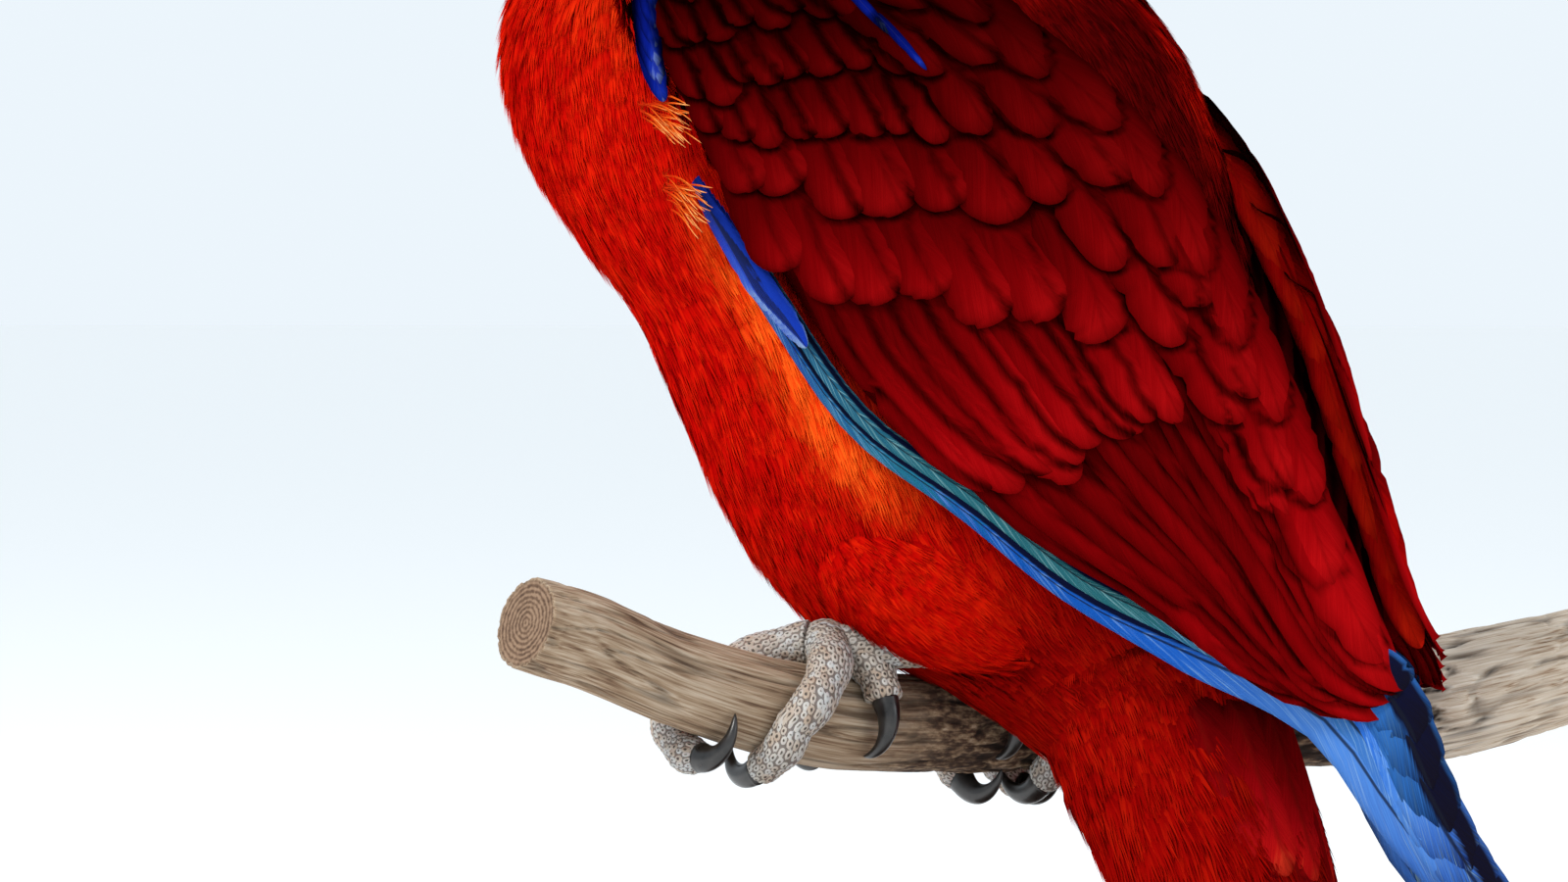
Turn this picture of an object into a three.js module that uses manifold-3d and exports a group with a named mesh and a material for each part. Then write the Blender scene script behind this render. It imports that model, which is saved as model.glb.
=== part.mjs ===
// Female eclectus parrot, life size, gripping a short cut branch on a plain round display stand.
// Millimetres, +Z up. The bird faces -X, its left side is -Y, and the middle of its back lies in the
// XZ plane. The origin is the middle of the base's underside. Bird, feet and branch are modelled
// about the point between the feet, on the branch's centreline, and are then lifted onto the post.
import * as THREE from "three";
import { mergeVertices } from "three/addons/utils/BufferGeometryUtils.js";
import Module from "manifold-3d";

const wasm = await Module();
wasm.setup();

// Driving dimensions.
const GAP = 0.3; // between nodes that touch
const WING_CHORD = 243; // bend of the wing to the tip of the longest primary
const TAIL_LENGTH = 128; // base of the tail to the tip of the middle feathers
const TAIL_CLEARANCE = 9; // tail tip above the base
const BASE_RADIUS = 92;
const BASE_THICKNESS = 14;
const POST_RADIUS = 4.2;
const EYE_RADIUS = 5.6;
const TOE_RADIUS = 4.1;
const CLAW_RADIUS = 2.5;

const colour = (hex, roughness, metalness = 0) =>
  new THREE.MeshStandardMaterial({ color: hex, roughness, metalness });
const BRIGHT_RED = colour(0xc81a08, 0.75);
const DARK_RED = colour(0x7d0808, 0.7);
const WING_BLUE = colour(0x1546b4, 0.6);
const BILL_BLACK = colour(0x15130f, 0.35);
const EYE_YELLOW = colour(0xd9b25a, 0.15);
const LEG_GREY = colour(0xa39b8e, 0.8);
const CLAW_BLACK = colour(0x0e0d0c, 0.3);
const BARK_BROWN = colour(0x8a6a4c, 0.9);
const BASE_WOOD = colour(0x3b2a20, 0.5);
const POST_METAL = colour(0x6f6a60, 0.4, 0.8);

// Smooth values between the rows of a table. The first column is the position of the others.
function smooth(rows) {
  const slope = (i, k) => {
    const a = rows[Math.max(i - 1, 0)];
    const b = rows[Math.min(i + 1, rows.length - 1)];
    return (b[k] - a[k]) / (b[0] - a[0]);
  };
  return (at) => {
    const t = Math.min(Math.max(at, rows[0][0]), rows[rows.length - 1][0]);
    let i = 0;
    while (i < rows.length - 2 && t > rows[i + 1][0]) i += 1;
    const step = rows[i + 1][0] - rows[i][0];
    const f = (t - rows[i][0]) / step;
    return rows[i].slice(1).map((v, j) => {
      const k = j + 1;
      const end = rows[i + 1][k];
      const rise = end - v;
      const s0 = slope(i, k) * step;
      const s1 = slope(i + 1, k) * step;
      return v + f * (s0 + f * (3 * rise - 2 * s0 - s1 + f * (s0 + s1 - 2 * rise)));
    });
  };
}

// A number from 0 to 1 that is the same for the same seed.
function chance(seed) {
  const x = Math.sin(seed * 127.1 + 311.7) * 43758.5453;
  return x - Math.floor(x);
}

// The closed surface through rings of equal count, with a flat fan at each end.
function closedLoft(rings) {
  const sides = rings[0].length;
  const points = rings.flat();
  const faces = [];
  for (let i = 0; i < rings.length - 1; i += 1)
    for (let j = 0; j < sides; j += 1) {
      const a = i * sides + j;
      const b = i * sides + ((j + 1) % sides);
      faces.push(a, b, b + sides, a, b + sides, a + sides);
    }
  for (const [ring, first] of [[rings[0], 0], [rings.at(-1), (rings.length - 1) * sides]]) {
    const middle = ring.reduce((sum, v) => sum.add(v), new THREE.Vector3()).divideScalar(sides);
    points.push(middle);
    for (let j = 0; j < sides; j += 1) {
      const a = first + j;
      const b = first + ((j + 1) % sides);
      faces.push(...(first === 0 ? [b, a, points.length - 1] : [a, b, points.length - 1]));
    }
  }
  const geometry = new THREE.BufferGeometry().setFromPoints(points);
  geometry.setIndex(faces);
  return geometry;
}

// A closed geometry as a solid, turned the right way out.
function solid(geometry) {
  const bare = geometry.clone();
  bare.deleteAttribute("normal");
  bare.deleteAttribute("uv");
  const merged = mergeVertices(bare, 1e-4);
  const build = (index) =>
    new wasm.Manifold(
      new wasm.Mesh({
        numProp: 3,
        vertProperties: merged.attributes.position.array,
        triVerts: new Uint32Array(index),
      }),
    );
  const index = Array.from(merged.index.array);
  const made = build(index);
  return made.volume() > 0 ? made : build(index.reverse());
}

const join = (solids) => solids.reduce((whole, piece) => whole.add(piece));
const cut = (whole, ...tools) => tools.reduce((left, tool) => left.subtract(tool), whole);
const largest = (made) =>
  made.decompose().reduce((best, piece) => (piece.volume() > best.volume() ? piece : best));

function node(name, made, material) {
  const { vertProperties, triVerts, numProp } = largest(made).getMesh();
  const positions = new Float32Array((vertProperties.length / numProp) * 3);
  for (let i = 0; i < positions.length / 3; i += 1)
    positions.set(vertProperties.subarray(i * numProp, i * numProp + 3), i * 3);
  const geometry = new THREE.BufferGeometry();
  geometry.setAttribute("position", new THREE.BufferAttribute(positions, 3));
  geometry.setIndex(new THREE.BufferAttribute(triVerts, 1));
  geometry.computeVertexNormals();
  const mesh = new THREE.Mesh(geometry, material);
  mesh.name = name;
  return mesh;
}

// A solid of round section along a list of {at, radius}, square to its path, which never runs along
// across.
function tube(stops, sides, across = new THREE.Vector3(0, 0, 1)) {
  const curve = new THREE.CatmullRomCurve3(stops.map((stop) => stop.at));
  const rings = stops.map((stop, i) => {
    const along = curve.getTangent(i / (stops.length - 1));
    const side = new THREE.Vector3().crossVectors(along, across).normalize();
    const up = new THREE.Vector3().crossVectors(side, along);
    return Array.from({ length: sides }, (_, j) => {
      const turn = (2 * Math.PI * j) / sides;
      return stop.at
        .clone()
        .addScaledVector(side, stop.radius * Math.cos(turn))
        .addScaledVector(up, stop.radius * Math.sin(turn));
    });
  });
  return closedLoft(rings);
}

// A closed plate between an outer and an inner grid of points, both split into the same triangles.
function plate(outer, inner) {
  const rows = outer.length;
  const across = outer[0].length;
  const points = [...outer.flat(), ...inner.flat()];
  const id = (i, j, layer) => layer * rows * across + i * across + j;
  const faces = [];
  const quad = (a, b, c, d) => faces.push(a, b, c, a, c, d);
  for (let i = 0; i < rows - 1; i += 1)
    for (let j = 0; j < across - 1; j += 1) {
      const [a, b, c, d] = [id(i, j, 0), id(i + 1, j, 0), id(i + 1, j + 1, 0), id(i, j + 1, 0)];
      const shift = rows * across;
      faces.push(a, b, c, a, c, d);
      faces.push(c + shift, b + shift, a + shift, d + shift, c + shift, a + shift);
    }
  for (let i = 0; i < rows - 1; i += 1) {
    quad(id(i, 0, 0), id(i, 0, 1), id(i + 1, 0, 1), id(i + 1, 0, 0));
    quad(id(i + 1, across - 1, 0), id(i + 1, across - 1, 1), id(i, across - 1, 1), id(i, across - 1, 0));
  }
  for (let j = 0; j < across - 1; j += 1) {
    quad(id(0, j + 1, 0), id(0, j + 1, 1), id(0, j, 1), id(0, j, 0));
    quad(id(rows - 1, j, 0), id(rows - 1, j, 1), id(rows - 1, j + 1, 1), id(rows - 1, j + 1, 0));
  }
  const geometry = new THREE.BufferGeometry().setFromPoints(points);
  geometry.setIndex(faces);
  return geometry;
}

// Head, neck and torso: throat-and-belly line x, z, then crown-and-back line x, z, then half width.
// The first column counts from the crown (0) to the root of the tail.
const BODY = smooth([
  [0, -51, 210.6, -43, 210.9, 4],
  [0.6, -59, 206, -33, 208.4, 12],
  [1.6, -65, 198, -23.5, 200.5, 18],
  [2.8, -67, 187.5, -17, 190, 20.8],
  [4, -65.5, 176, -12.5, 180, 21.6],
  [5.2, -63, 165, -5, 169.5, 23],
  [6.4, -64.5, 153.5, 8, 159, 27],
  [7.6, -70, 142, 23, 148.5, 34],
  [8.8, -74.5, 131, 37, 137, 39.5],
  [10, -75.5, 119, 48, 124, 43],
  [11.2, -71.5, 105, 55, 109, 44.5],
  [12.4, -63, 91, 59, 95, 44],
  [13.6, -52.5, 77.5, 62, 83, 42.5],
  [14.8, -44.5, 62, 65, 71, 40.5],
  [16, -37, 45, 68, 60, 38],
  [17.2, -28, 29.5, 71, 48, 33],
  [18.2, -15, 17, 72.5, 35, 28],
  [19.1, 4, 8.5, 71.5, 21, 22],
  [20, 24, -4.5, 68, 8, 18],
  [20.8, 36, -16, 64, -2, 13],
]);
const BODY_END = 20.8;
const HEAD_ENDS = 5.3;
const NECK_ENDS = 8.4;

function bodyRing(at, grow, sides = 24) {
  const [vx, vz, dx, dz, halfWidth] = BODY(at);
  const middle = new THREE.Vector3((vx + dx) / 2, 0, (vz + dz) / 2);
  const half = new THREE.Vector3(dx - vx, 0, dz - vz).multiplyScalar(0.5);
  const depth = half.length();
  half.multiplyScalar((depth + grow) / depth);
  return Array.from({ length: sides }, (_, j) => {
    const turn = (2 * Math.PI * j) / sides;
    return middle
      .clone()
      .addScaledVector(half, Math.cos(turn))
      .add(new THREE.Vector3(0, (halfWidth + grow) * Math.sin(turn), 0));
  });
}

// The same rings wherever the form is parted, so that the parts and the rooms cut for them agree.
const RINGS = [];
for (let at = 0; at < BODY_END; at += at < HEAD_ENDS ? 0.53 : 1) RINGS.push(at);
RINGS.push(BODY_END);

function bodySolid(from, to, grow, sides) {
  const between = RINGS.filter((at) => at > from + 0.1 && at < to - 0.1);
  return solid(closedLoft([from, ...between, to].map((at) => bodyRing(at, grow, sides))));
}

// The folded wings lie on a spindle round the body. Each row: place p along the wing from its bend,
// then the middle, half depth and half width of the spindle's section there.
const WING_BEND = new THREE.Vector3(-48, 0, 131);
const WING_ALONG = new THREE.Vector3(0.68, 0, -0.733);
const WING_UP = new THREE.Vector3(0.733, 0, 0.68);
const SPINDLE = smooth([
  [-12, 11, 40, 38],
  [0, 10, 48, 44],
  [30, 10, 53, 48.5],
  [60, 8, 55, 49.5],
  [90, 5, 56, 48],
  [120, 1, 50, 42],
  [150, 1.5, 36, 31],
  [175, 3.5, 23, 20],
  [192, 6, 17, 15],
  [246, 4, 10, 12],
]);
const degrees = Math.PI / 180;

// The point on the spindle at p and angle g (0 at the side, 90 at the back), raised by lift along its
// normal.
function onSpindle(p, g, lift, side) {
  const [middle, halfDepth, halfWidth] = SPINDLE(p);
  const turn = g * degrees;
  const normal = new THREE.Vector2(Math.sin(turn) * halfWidth, Math.cos(turn) * halfDepth).normalize();
  const q = middle + halfDepth * Math.sin(turn) + lift * normal.x;
  const y = halfWidth * Math.cos(turn) + lift * normal.y;
  return WING_BEND.clone()
    .addScaledVector(WING_ALONG, p)
    .addScaledVector(WING_UP, q)
    .add(new THREE.Vector3(0, side * y, 0));
}

const spindleReach = (p, g) => {
  const [, halfDepth, halfWidth] = SPINDLE(p);
  return Math.hypot(halfDepth * Math.cos(g * degrees), halfWidth * Math.sin(g * degrees)) * degrees;
};

// Lower and upper edge of the wing's covered part, in degrees round the spindle. The right wing lies
// higher on the back than the left one.
const WING_EDGES = smooth([
  [-9, 9, 14],
  [-5, -1, 25],
  [1, -7, 32],
  [12, -12, 37],
  [36, -15, 42],
  [64, -19, 50],
  [88, -19, 57],
  [112, -12, 63],
  [135, -3, 66],
  [156, 7, 64],
  [176, 14, 57],
]);
const RAISED = {
  "-1": smooth([[0, 0], [88, -7], [135, -14], [176, -17]]),
  1: smooth([[0, 0], [112, 8], [176, 17]]),
};

function wingAngle(p, share, side) {
  const [low, high] = WING_EDGES(p);
  return low + (high + RAISED[side](p)[0] - low) * share;
}

// A feather lying on the spindle: its path as p and share of the way up the wing, its width, and how high
// its tip stands.
const VANE_SHAPE = [[0, 0.6], [0.35, 1], [0.74, 0.94], [0.93, 0.58], [1, 0.2]];
const VANE_SUNK = -0.7;
const vaneTop = (f, lift) => (f < 0.3 ? VANE_SUNK + 0.5 : lift);

function wingVane({ path, width, lift, side }) {
  const curve = new THREE.CatmullRomCurve3(
    path.map(([p, share]) => new THREE.Vector3(p, wingAngle(p, share, side), 0)),
  );
  const rows = (top) =>
    VANE_SHAPE.map(([f, share]) => {
      const at = curve.getPoint(f);
      const ahead = curve.getTangent(f);
      const reach = spindleReach(at.x, at.y);
      const run = new THREE.Vector2(ahead.x, ahead.y * reach).normalize();
      return [-0.5, 0.5].map((k) => {
        const p = at.x - run.y * k * width * share;
        const g = at.y + (run.x * k * width * share) / reach;
        return onSpindle(p, g, top ? vaneTop(f, lift) : VANE_SUNK - 0.3, side);
      });
    });
  return solid(plate(rows(true), rows(false)));
}

// Tiers of feathers, from the wing's lower edge up: how many, the path of the lowest and of the
// highest as p and share of the way up the wing, their widths, and how high their tips stand.
const WING_TIERS = [
  {
    count: 6, width: [10.5, 11.5], lift: [0.7, 1.9],
    lowest: [[70, 0.06], [112, 0.04], [146, 0.02], [177, 0]],
    highest: [[92, 0.7], [122, 0.66], [156, 0.6], [187, 0.56]],
  },
  {
    count: 3, width: [11.5, 11], lift: [2, 2.6],
    lowest: [[96, 0.72], [124, 0.7], [152, 0.68], [186, 0.72]],
    highest: [[96, 0.9], [124, 0.92], [150, 0.94], [177, 1]],
  },
  {
    count: 6, width: [14, 14], lift: [2.2, 3.2],
    lowest: [[36, 0.1], [52, 0.04], [64, 0]],
    highest: [[82, 0.66], [100, 0.64], [122, 0.6]],
  },
  {
    count: 5, width: [12, 12.5], lift: [3.4, 3.8],
    lowest: [[22, 0.12], [36, 0.08], [46, 0.02]],
    highest: [[56, 0.72], [70, 0.68], [84, 0.6]],
  },
];
const blend = ([first, last], f) => first + (last - first) * f;

function tier({ count, lowest, highest, width, lift }, side) {
  return Array.from({ length: count }, (_, i) => {
    const f = i / (count - 1);
    const path = lowest.map((low, k) => low.map((value, j) => blend([value, highest[k][j]], f)));
    return wingVane({ path, width: blend(width, f), lift: blend(lift, f), side });
  });
}

// Shoulder feathers: p and share of the way up of the tip, and how high it stands.
const SHOULDER = [
  [162, 0.8, 2.2],
  [146, 0.74, 2.8],
  [150, 0.97, 3],
  [128, 0.72, 3.4],
  [130, 0.93, 3.6],
  [108, 0.86, 4],
  [86, 0.84, 4.2],
];

// Secondaries, tertials, greater and median coverts, and the shoulder feathers.
function wingFeathers(side) {
  return [
    ...WING_TIERS.flatMap((row) => tier(row, side)),
    ...SHOULDER.map(([p, share, lift]) =>
      wingVane({ path: [[p - 38, share], [p - 18, share + 0.02], [p, share]], width: 14.5, lift, side }),
    ),
  ];
}

// The wing's covered part: a pad from its bend to the last feathers, thick over the body and thin
// behind it.
function wingPad(side) {
  const stations = [-9, -5, 2, 14, 32, 52, 72, 92, 112, 132, 152, 176];
  const across = 7;
  const depth = smooth([[-9, -9], [100, -11], [135, -6], [152, -2.6], [176, -2.2]]);
  const grid = (inner) =>
    stations.map((p) =>
      Array.from({ length: across }, (_, j) => {
        const share = j / (across - 1);
        const rounded = 2.2 * Math.abs(2 * share - 1) ** 6 + 4.5 * Math.max(0, 1 - (p + 9) / 20) ** 2;
        return onSpindle(p, wingAngle(p, share, side), inner ? depth(p)[0] : -rounded, side);
      }),
    );
  return solid(plate(grid(false), grid(true)));
}

// Primaries: lower edge q and y, then upper edge q and y, along p. The strip shows along the wing's
// lower edge, dips under the tertials, and comes out behind them as the wing's tip.
const BLADE = smooth([
  [34, -10.5, 43.6, -5.5, 45.6],
  [64, -16.2, 43.8, -10.4, 46],
  [88, -19.2, 42.8, -12.8, 45],
  [112, -14, 40.2, -7, 41.4],
  [135, -10.2, 33.2, -2.5, 33.6],
  [156, -3.6, 24.5, 8, 23.5],
  [170, 1, 19, 15, 16.5],
  [180, 2.2, 17, 20, 13],
  [190, 1, 16.5, 20.5, 12.5],
  [200, -0.5, 16, 17.6, 12.5],
  [212, 0, 15, 13.6, 12.5],
  [226, 1.8, 14, 9.4, 12.4],
  [WING_CHORD + 1, 3.6, 13, 6.4, 12.2],
]);
const FAR_TIP_DROP = 7; // the far wing's tip hangs a little lower

function onBlade(p, across, lift, side) {
  const [lowQ, lowY, highQ, highY] = BLADE(p);
  const drop = side > 0 ? FAR_TIP_DROP * THREE.MathUtils.smoothstep(p, 150, 215) : 0;
  const camber = 1.1 * (1 - (2 * across - 1) ** 2);
  const q = lowQ + (highQ - lowQ) * across - drop;
  const y = lowY + (highY - lowY) * across + camber + lift;
  return WING_BEND.clone()
    .addScaledVector(WING_ALONG, p)
    .addScaledVector(WING_UP, q)
    .add(new THREE.Vector3(0, side * y, 0));
}

function bladePlate(from, to, stations, low, high, outer, inner, side) {
  const grid = (lift) =>
    Array.from({ length: stations }, (_, i) => {
      const p = from + ((to - from) * i) / (stations - 1);
      return [0, 0.5, 1].map((f) => onBlade(p, low + (high - low) * f, lift, side));
    });
  return solid(plate(grid(outer), grid(inner)));
}

const PRIMARIES = 5;
function primaries(side) {
  const made = [bladePlate(36, WING_CHORD - 14, 11, 0.04, 0.96, 0, -1.1, side)];
  for (let i = 0; i < PRIMARIES; i += 1) {
    const f = i / (PRIMARIES - 1);
    const tip = WING_CHORD - 44 * f ** 1.25 - 1.5 * chance(i);
    const root = 62 + 50 * f;
    const lift = 0.5 + 0.45 * i;
    const rows = (top) =>
      Array.from({ length: 6 }, (_, k) => {
        const t = k / 5;
        const p = root + (tip - root) * t;
        const taper = Math.sqrt(Math.max(0, 1 - Math.max(0, (t - 0.72) / 0.28) ** 2.2)) * 0.9 + 0.1;
        const middle = 0.2 + 0.62 * f;
        const half = (0.21 + 0.02 * f) * taper;
        const stands = k === 0 ? -0.3 : lift;
        return [middle - half, middle, middle + half].map((a, j) =>
          onBlade(p, a, top ? stands + (j === 1 ? 0.2 : 0) : -0.8, side),
        );
      });
    made.push(solid(plate(rows(true), rows(false))));
  }
  return join(made);
}

const bladeRoom = (side) => bladePlate(33, WING_CHORD + 1, 18, -0.12, 1.14, 3.7 + GAP, -1.6 - GAP, side);

// The tail hangs from the rump. Its section is an arch: middle feathers on top and outer ones at the
// sides.
const TAIL_ROOT = new THREE.Vector3(33.6, 0, 30);
const TAIL_ALONG = new THREE.Vector3(0.375, 0, -0.927);
const TAIL_UP = new THREE.Vector3(0.927, 0, 0.375);
const TAIL = smooth([
  [20, 20, 17],
  [42, 19, 18.5],
  [62, 17, 20],
  [90, 13, 21.5],
  [TAIL_LENGTH, 9, 22.5],
]); // distance from the root, arch height over the middle line, half width

const TAIL_UNDER = smooth([[20, 19], [42, 17], [60, 14], [80, 8], [98, 2], [108, -4]]);

function onTail(s, turn, lift) {
  const [height, halfWidth] = TAIL(s);
  const way = Math.cos(turn * degrees);
  const up = ((way > 0 ? height : TAIL_UNDER(s)[0]) + lift) * way;
  const y = (halfWidth + lift) * Math.sin(turn * degrees);
  return TAIL_ROOT.clone()
    .addScaledVector(TAIL_ALONG, s)
    .addScaledVector(TAIL_UP, up)
    .add(new THREE.Vector3(0, y, 0));
}

function tailCore() {
  const sides = 14;
  const rings = Array.from({ length: 7 }, (_, i) => {
    const s = 31 + (77 * i) / 6;
    const [height, halfWidth] = TAIL(s);
    return Array.from({ length: sides }, (_, j) => {
      const turn = (360 * j) / sides;
      const up = Math.cos(turn * degrees);
      const reach = up > 0 ? height : TAIL_UNDER(s)[0];
      return TAIL_ROOT.clone()
        .addScaledVector(TAIL_ALONG, s)
        .addScaledVector(TAIL_UP, up * reach)
        .add(new THREE.Vector3(0, halfWidth * Math.sin(turn * degrees) * 0.995, 0));
    });
  });
  return solid(closedLoft(rings));
}

function tailVane({ root, tip, turn, width, lift, spread }) {
  const rows = (top) =>
    VANE_SHAPE.map(([f, share]) => {
      const s = root + (tip - root) * f;
      const [height, halfWidth] = TAIL(s);
      const reach = ((height + halfWidth) / 2) * degrees;
      return [-0.5, 0.5].map((k) => {
        const at = turn * (1 + spread * f) + (k * width * share) / reach;
        return onTail(s, at, top ? vaneTop(f, lift) : VANE_SUNK - 0.3);
      });
    });
  return solid(plate(rows(true), rows(false)));
}

function tailSolid() {
  const made = [tailCore()];
  const pairs = 4;
  for (let i = 0; i < pairs; i += 1)
    for (const side of [-1, 1]) {
      const tip = TAIL_LENGTH - 1.6 * i - 1.5 * chance(i + 20 + side);
      const turn = side * (11 + 22 * i);
      made.push(tailVane({ root: 44, tip, turn, width: 23, lift: 2.4 - 0.5 * i, spread: 0.04 }));
    }
  const coverts = 4;
  for (let i = 0; i < coverts; i += 1) {
    const f = i / (coverts - 1) - 0.5;
    const short = 26 * Math.abs(f);
    const above = { root: 30, tip: 76 - short, turn: 120 * f, width: 20, lift: 4 - Math.abs(f) };
    const below = { root: 28, tip: 84 - short, turn: 180 + 130 * f, width: 22, lift: 3 - Math.abs(f) };
    made.push(tailVane({ ...above, spread: 0 }), tailVane({ ...below, spread: 0 }));
  }
  return join(made);
}

// The branch, as points on its centreline, with its radius at each. It runs obliquely under the bird.
const BRANCH = [
  [-55.9, -65.3, 20.5, 8.2],
  [-48, -56.2, 17.3, 8.4],
  [-33.8, -41, 9.6, 8.7],
  [-13.6, -18.2, 2.2, 8.8],
  [0, 0, 0.4, 8.9],
  [12.7, 17.2, -0.4, 8.7],
  [24, 31.5, -0.4, 8.9],
  [46.5, 46, 0.2, 9.6],
  [65, 53, 0.8, 10.4],
  [84, 61, 2.2, 11.2],
  [107, 69.5, 7.6, 10.6],
  [118, 73.5, 10.8, 10.4],
].map(([x, y, z, radius]) => ({ at: new THREE.Vector3(x, y, z), radius }));
const branchLine = new THREE.CatmullRomCurve3(BRANCH.map((stop) => stop.at));
const branchRadius = smooth(BRANCH.map((stop, i) => [i / (BRANCH.length - 1), stop.radius]));

function branchSolid(grow) {
  const rings = 15;
  const stops = Array.from({ length: rings + 1 }, (_, i) => {
    const t = i / rings;
    const knot = 0.35 * Math.sin(9 * t) * Math.sin(23 * t + 1);
    return { at: branchLine.getPoint(t), radius: branchRadius(t)[0] + knot + grow };
  });
  return solid(tube(stops, 12));
}

// A point beside the branch: t along it, turned round it from straight up towards the bird's front.
function aroundBranch(t, turn, reach) {
  const at = branchLine.getPoint(t);
  const along = branchLine.getTangent(t);
  const front = new THREE.Vector3(0, 0, 1).cross(along).normalize();
  const up = new THREE.Vector3().crossVectors(along, front);
  const radius = branchRadius(t)[0] + 0.3 + reach;
  return at
    .addScaledVector(up, radius * Math.cos(turn * degrees))
    .addScaledVector(front, radius * Math.sin(turn * degrees));
}

// Two toes point forward and two back. Each: number, how far round the branch it reaches, and how far
// along it strays at its root and at its tip, in millimetres. Toes 3 and 4 are the outer ones.
const BRANCH_LENGTH = branchLine.getLength();
const FEET = [
  {
    name: "left", side: -1, t: 3 / 11, heel: new THREE.Vector3(12, -18, 15), claws: 58,
    toes: [[1, -72, 3, 5], [2, 92, 1, 5], [3, 186, -2, -16], [4, -166, -1, -9]],
  },
  {
    name: "right", side: 1, t: 5 / 11, heel: new THREE.Vector3(30, 17, 17), claws: 58,
    toes: [[1, -70, 0, -7], [2, 150, -2, -3], [3, 166, 2, 11], [4, -150, 2, 6]],
  },
];

function toeStops(foot, [, reach, rootShift, tipShift]) {
  const stops = [];
  const steps = Math.max(4, Math.round(Math.abs(reach) / 20));
  for (let i = 0; i <= steps; i += 1) {
    const f = i / steps;
    const shift = rootShift + (tipShift - rootShift) * Math.min(1, f * 1.6);
    const radius = TOE_RADIUS * (1.02 - 0.22 * f) * (i % 2 === 0 ? 1.04 : 0.95);
    stops.push({
      at: aroundBranch(foot.t + shift / BRANCH_LENGTH, reach * (0.04 + 0.96 * f), radius * 0.86),
      radius,
    });
  }
  return stops;
}

function footSolid(foot) {
  const pad = aroundBranch(foot.t, 0, TOE_RADIUS * 0.8);
  const shank = [0, 0.2, 0.45, 0.7, 0.9, 1].map((f, i) => ({
    at: pad.clone().lerp(foot.heel, f),
    radius: [4.4, 4.1, 3.6, 3.5, 3.9, 3.4][i],
  }));
  const across = branchLine.getTangent(foot.t);
  const toes = foot.toes.map((toe) => solid(tube(toeStops(foot, toe), 8, across)));
  const ball = new THREE.SphereGeometry(5.2, 10, 7).translate(pad.x, pad.y, pad.z);
  return join([solid(ball), solid(tube(shank, 8)), ...toes]);
}

// A claw goes on from its toe's end face, arches out and comes back to the bark with its point.
function clawSolid(foot, [, reach, , tipShift]) {
  const turnWay = Math.sign(reach);
  const ring = branchRadius(foot.t)[0] + TOE_RADIUS;
  const start = (GAP / ring / degrees) * 1.15;
  const stops = Array.from({ length: 6 }, (_, i) => {
    const f = i / 5;
    const reachOut = TOE_RADIUS * 0.72 * (1 - f ** 1.8) + 1.3 * Math.sin(Math.PI * f) + 0.3;
    return {
      at: aroundBranch(
        foot.t + tipShift / BRANCH_LENGTH,
        reach + turnWay * (start + foot.claws * f),
        reachOut,
      ),
      radius: CLAW_RADIUS * (1 - f) ** 0.75 + 0.22,
    };
  });
  return solid(tube(stops, 8, branchLine.getTangent(foot.t)));
}

// Bill: culmen x, z, then cutting edge x, z, then half width. The lower one is the same with its keel
// second.
const BILL_UPPER = smooth([
  [0, -54, 199, -56, 179.5, 8.6],
  [0.2, -66, 200, -65, 177.6, 9.4],
  [0.4, -76, 197, -72.5, 176.4, 8.8],
  [0.6, -84, 190, -78, 175.4, 7.2],
  [0.78, -88.4, 181, -81.6, 172.4, 5],
  [0.92, -88.6, 172.2, -83.6, 168.8, 2.4],
  [1, -86.4, 164.6, -85.4, 164.4, 0.5],
]);
const BILL_LOWER = smooth([
  [0, -54, 181.5, -53, 164.5, 8.2],
  [0.45, -66, 180, -63.5, 162.2, 8.6],
  [0.75, -73, 178.6, -71.4, 164, 7.4],
  [0.92, -77.6, 176.6, -77, 167.6, 5.2],
  [1, -79.6, 175, -79.2, 170.6, 3.2],
]);

function billSolid(shape, rings, grow = 0) {
  const sides = 14;
  const list = Array.from({ length: rings + 1 }, (_, i) => {
    const [tx, tz, bx, bz, halfWidth] = shape(i / rings);
    const middle = new THREE.Vector3((tx + bx) / 2, 0, (tz + bz) / 2);
    const half = new THREE.Vector3(tx - bx, 0, tz - bz).multiplyScalar(0.5);
    half.setLength(half.length() + grow);
    return Array.from({ length: sides }, (_, j) => {
      const turn = (2 * Math.PI * (j + 0.5)) / sides;
      const boxy = (v) => Math.sign(v) * Math.abs(v) ** 0.82;
      return middle
        .clone()
        .addScaledVector(half, boxy(Math.cos(turn)))
        .add(new THREE.Vector3(0, (halfWidth + grow) * boxy(Math.sin(turn)), 0));
    });
  });
  return solid(closedLoft(list));
}

const EYE_AT = new THREE.Vector3(-53.5, 13.6, 190.5);
const eyeBall = (side, radius) =>
  solid(new THREE.SphereGeometry(radius, 12, 8).translate(EYE_AT.x, side * EYE_AT.y, EYE_AT.z));
const lid = (side) =>
  solid(
    new THREE.TorusGeometry(5.5, 0.9, 4, 12)
      .rotateX(Math.PI / 2)
      .rotateZ(side * 0.32)
      .translate(EYE_AT.x - 0.3, side * (EYE_AT.y + 3.1), EYE_AT.z),
  );
const nostril = (side) => solid(new THREE.SphereGeometry(1.1, 8, 6).translate(-68.4, side * 6.6, 195));

const thighSolid = ({ at, radii, tilt }, grow) =>
  solid(
    new THREE.SphereGeometry(1, 16, 10)
      .scale(radii[0] + grow, radii[1] + grow, radii[2] + grow)
      .rotateY(tilt)
      .translate(...at),
  );
const THIGHS = {
  left: { at: [6, -17.5, 28], radii: [23, 15, 15.5], tilt: 0.52 },
  right: { at: [17, 17, 25], radii: [23, 14.5, 16.5], tilt: 0.5 },
};

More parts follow.
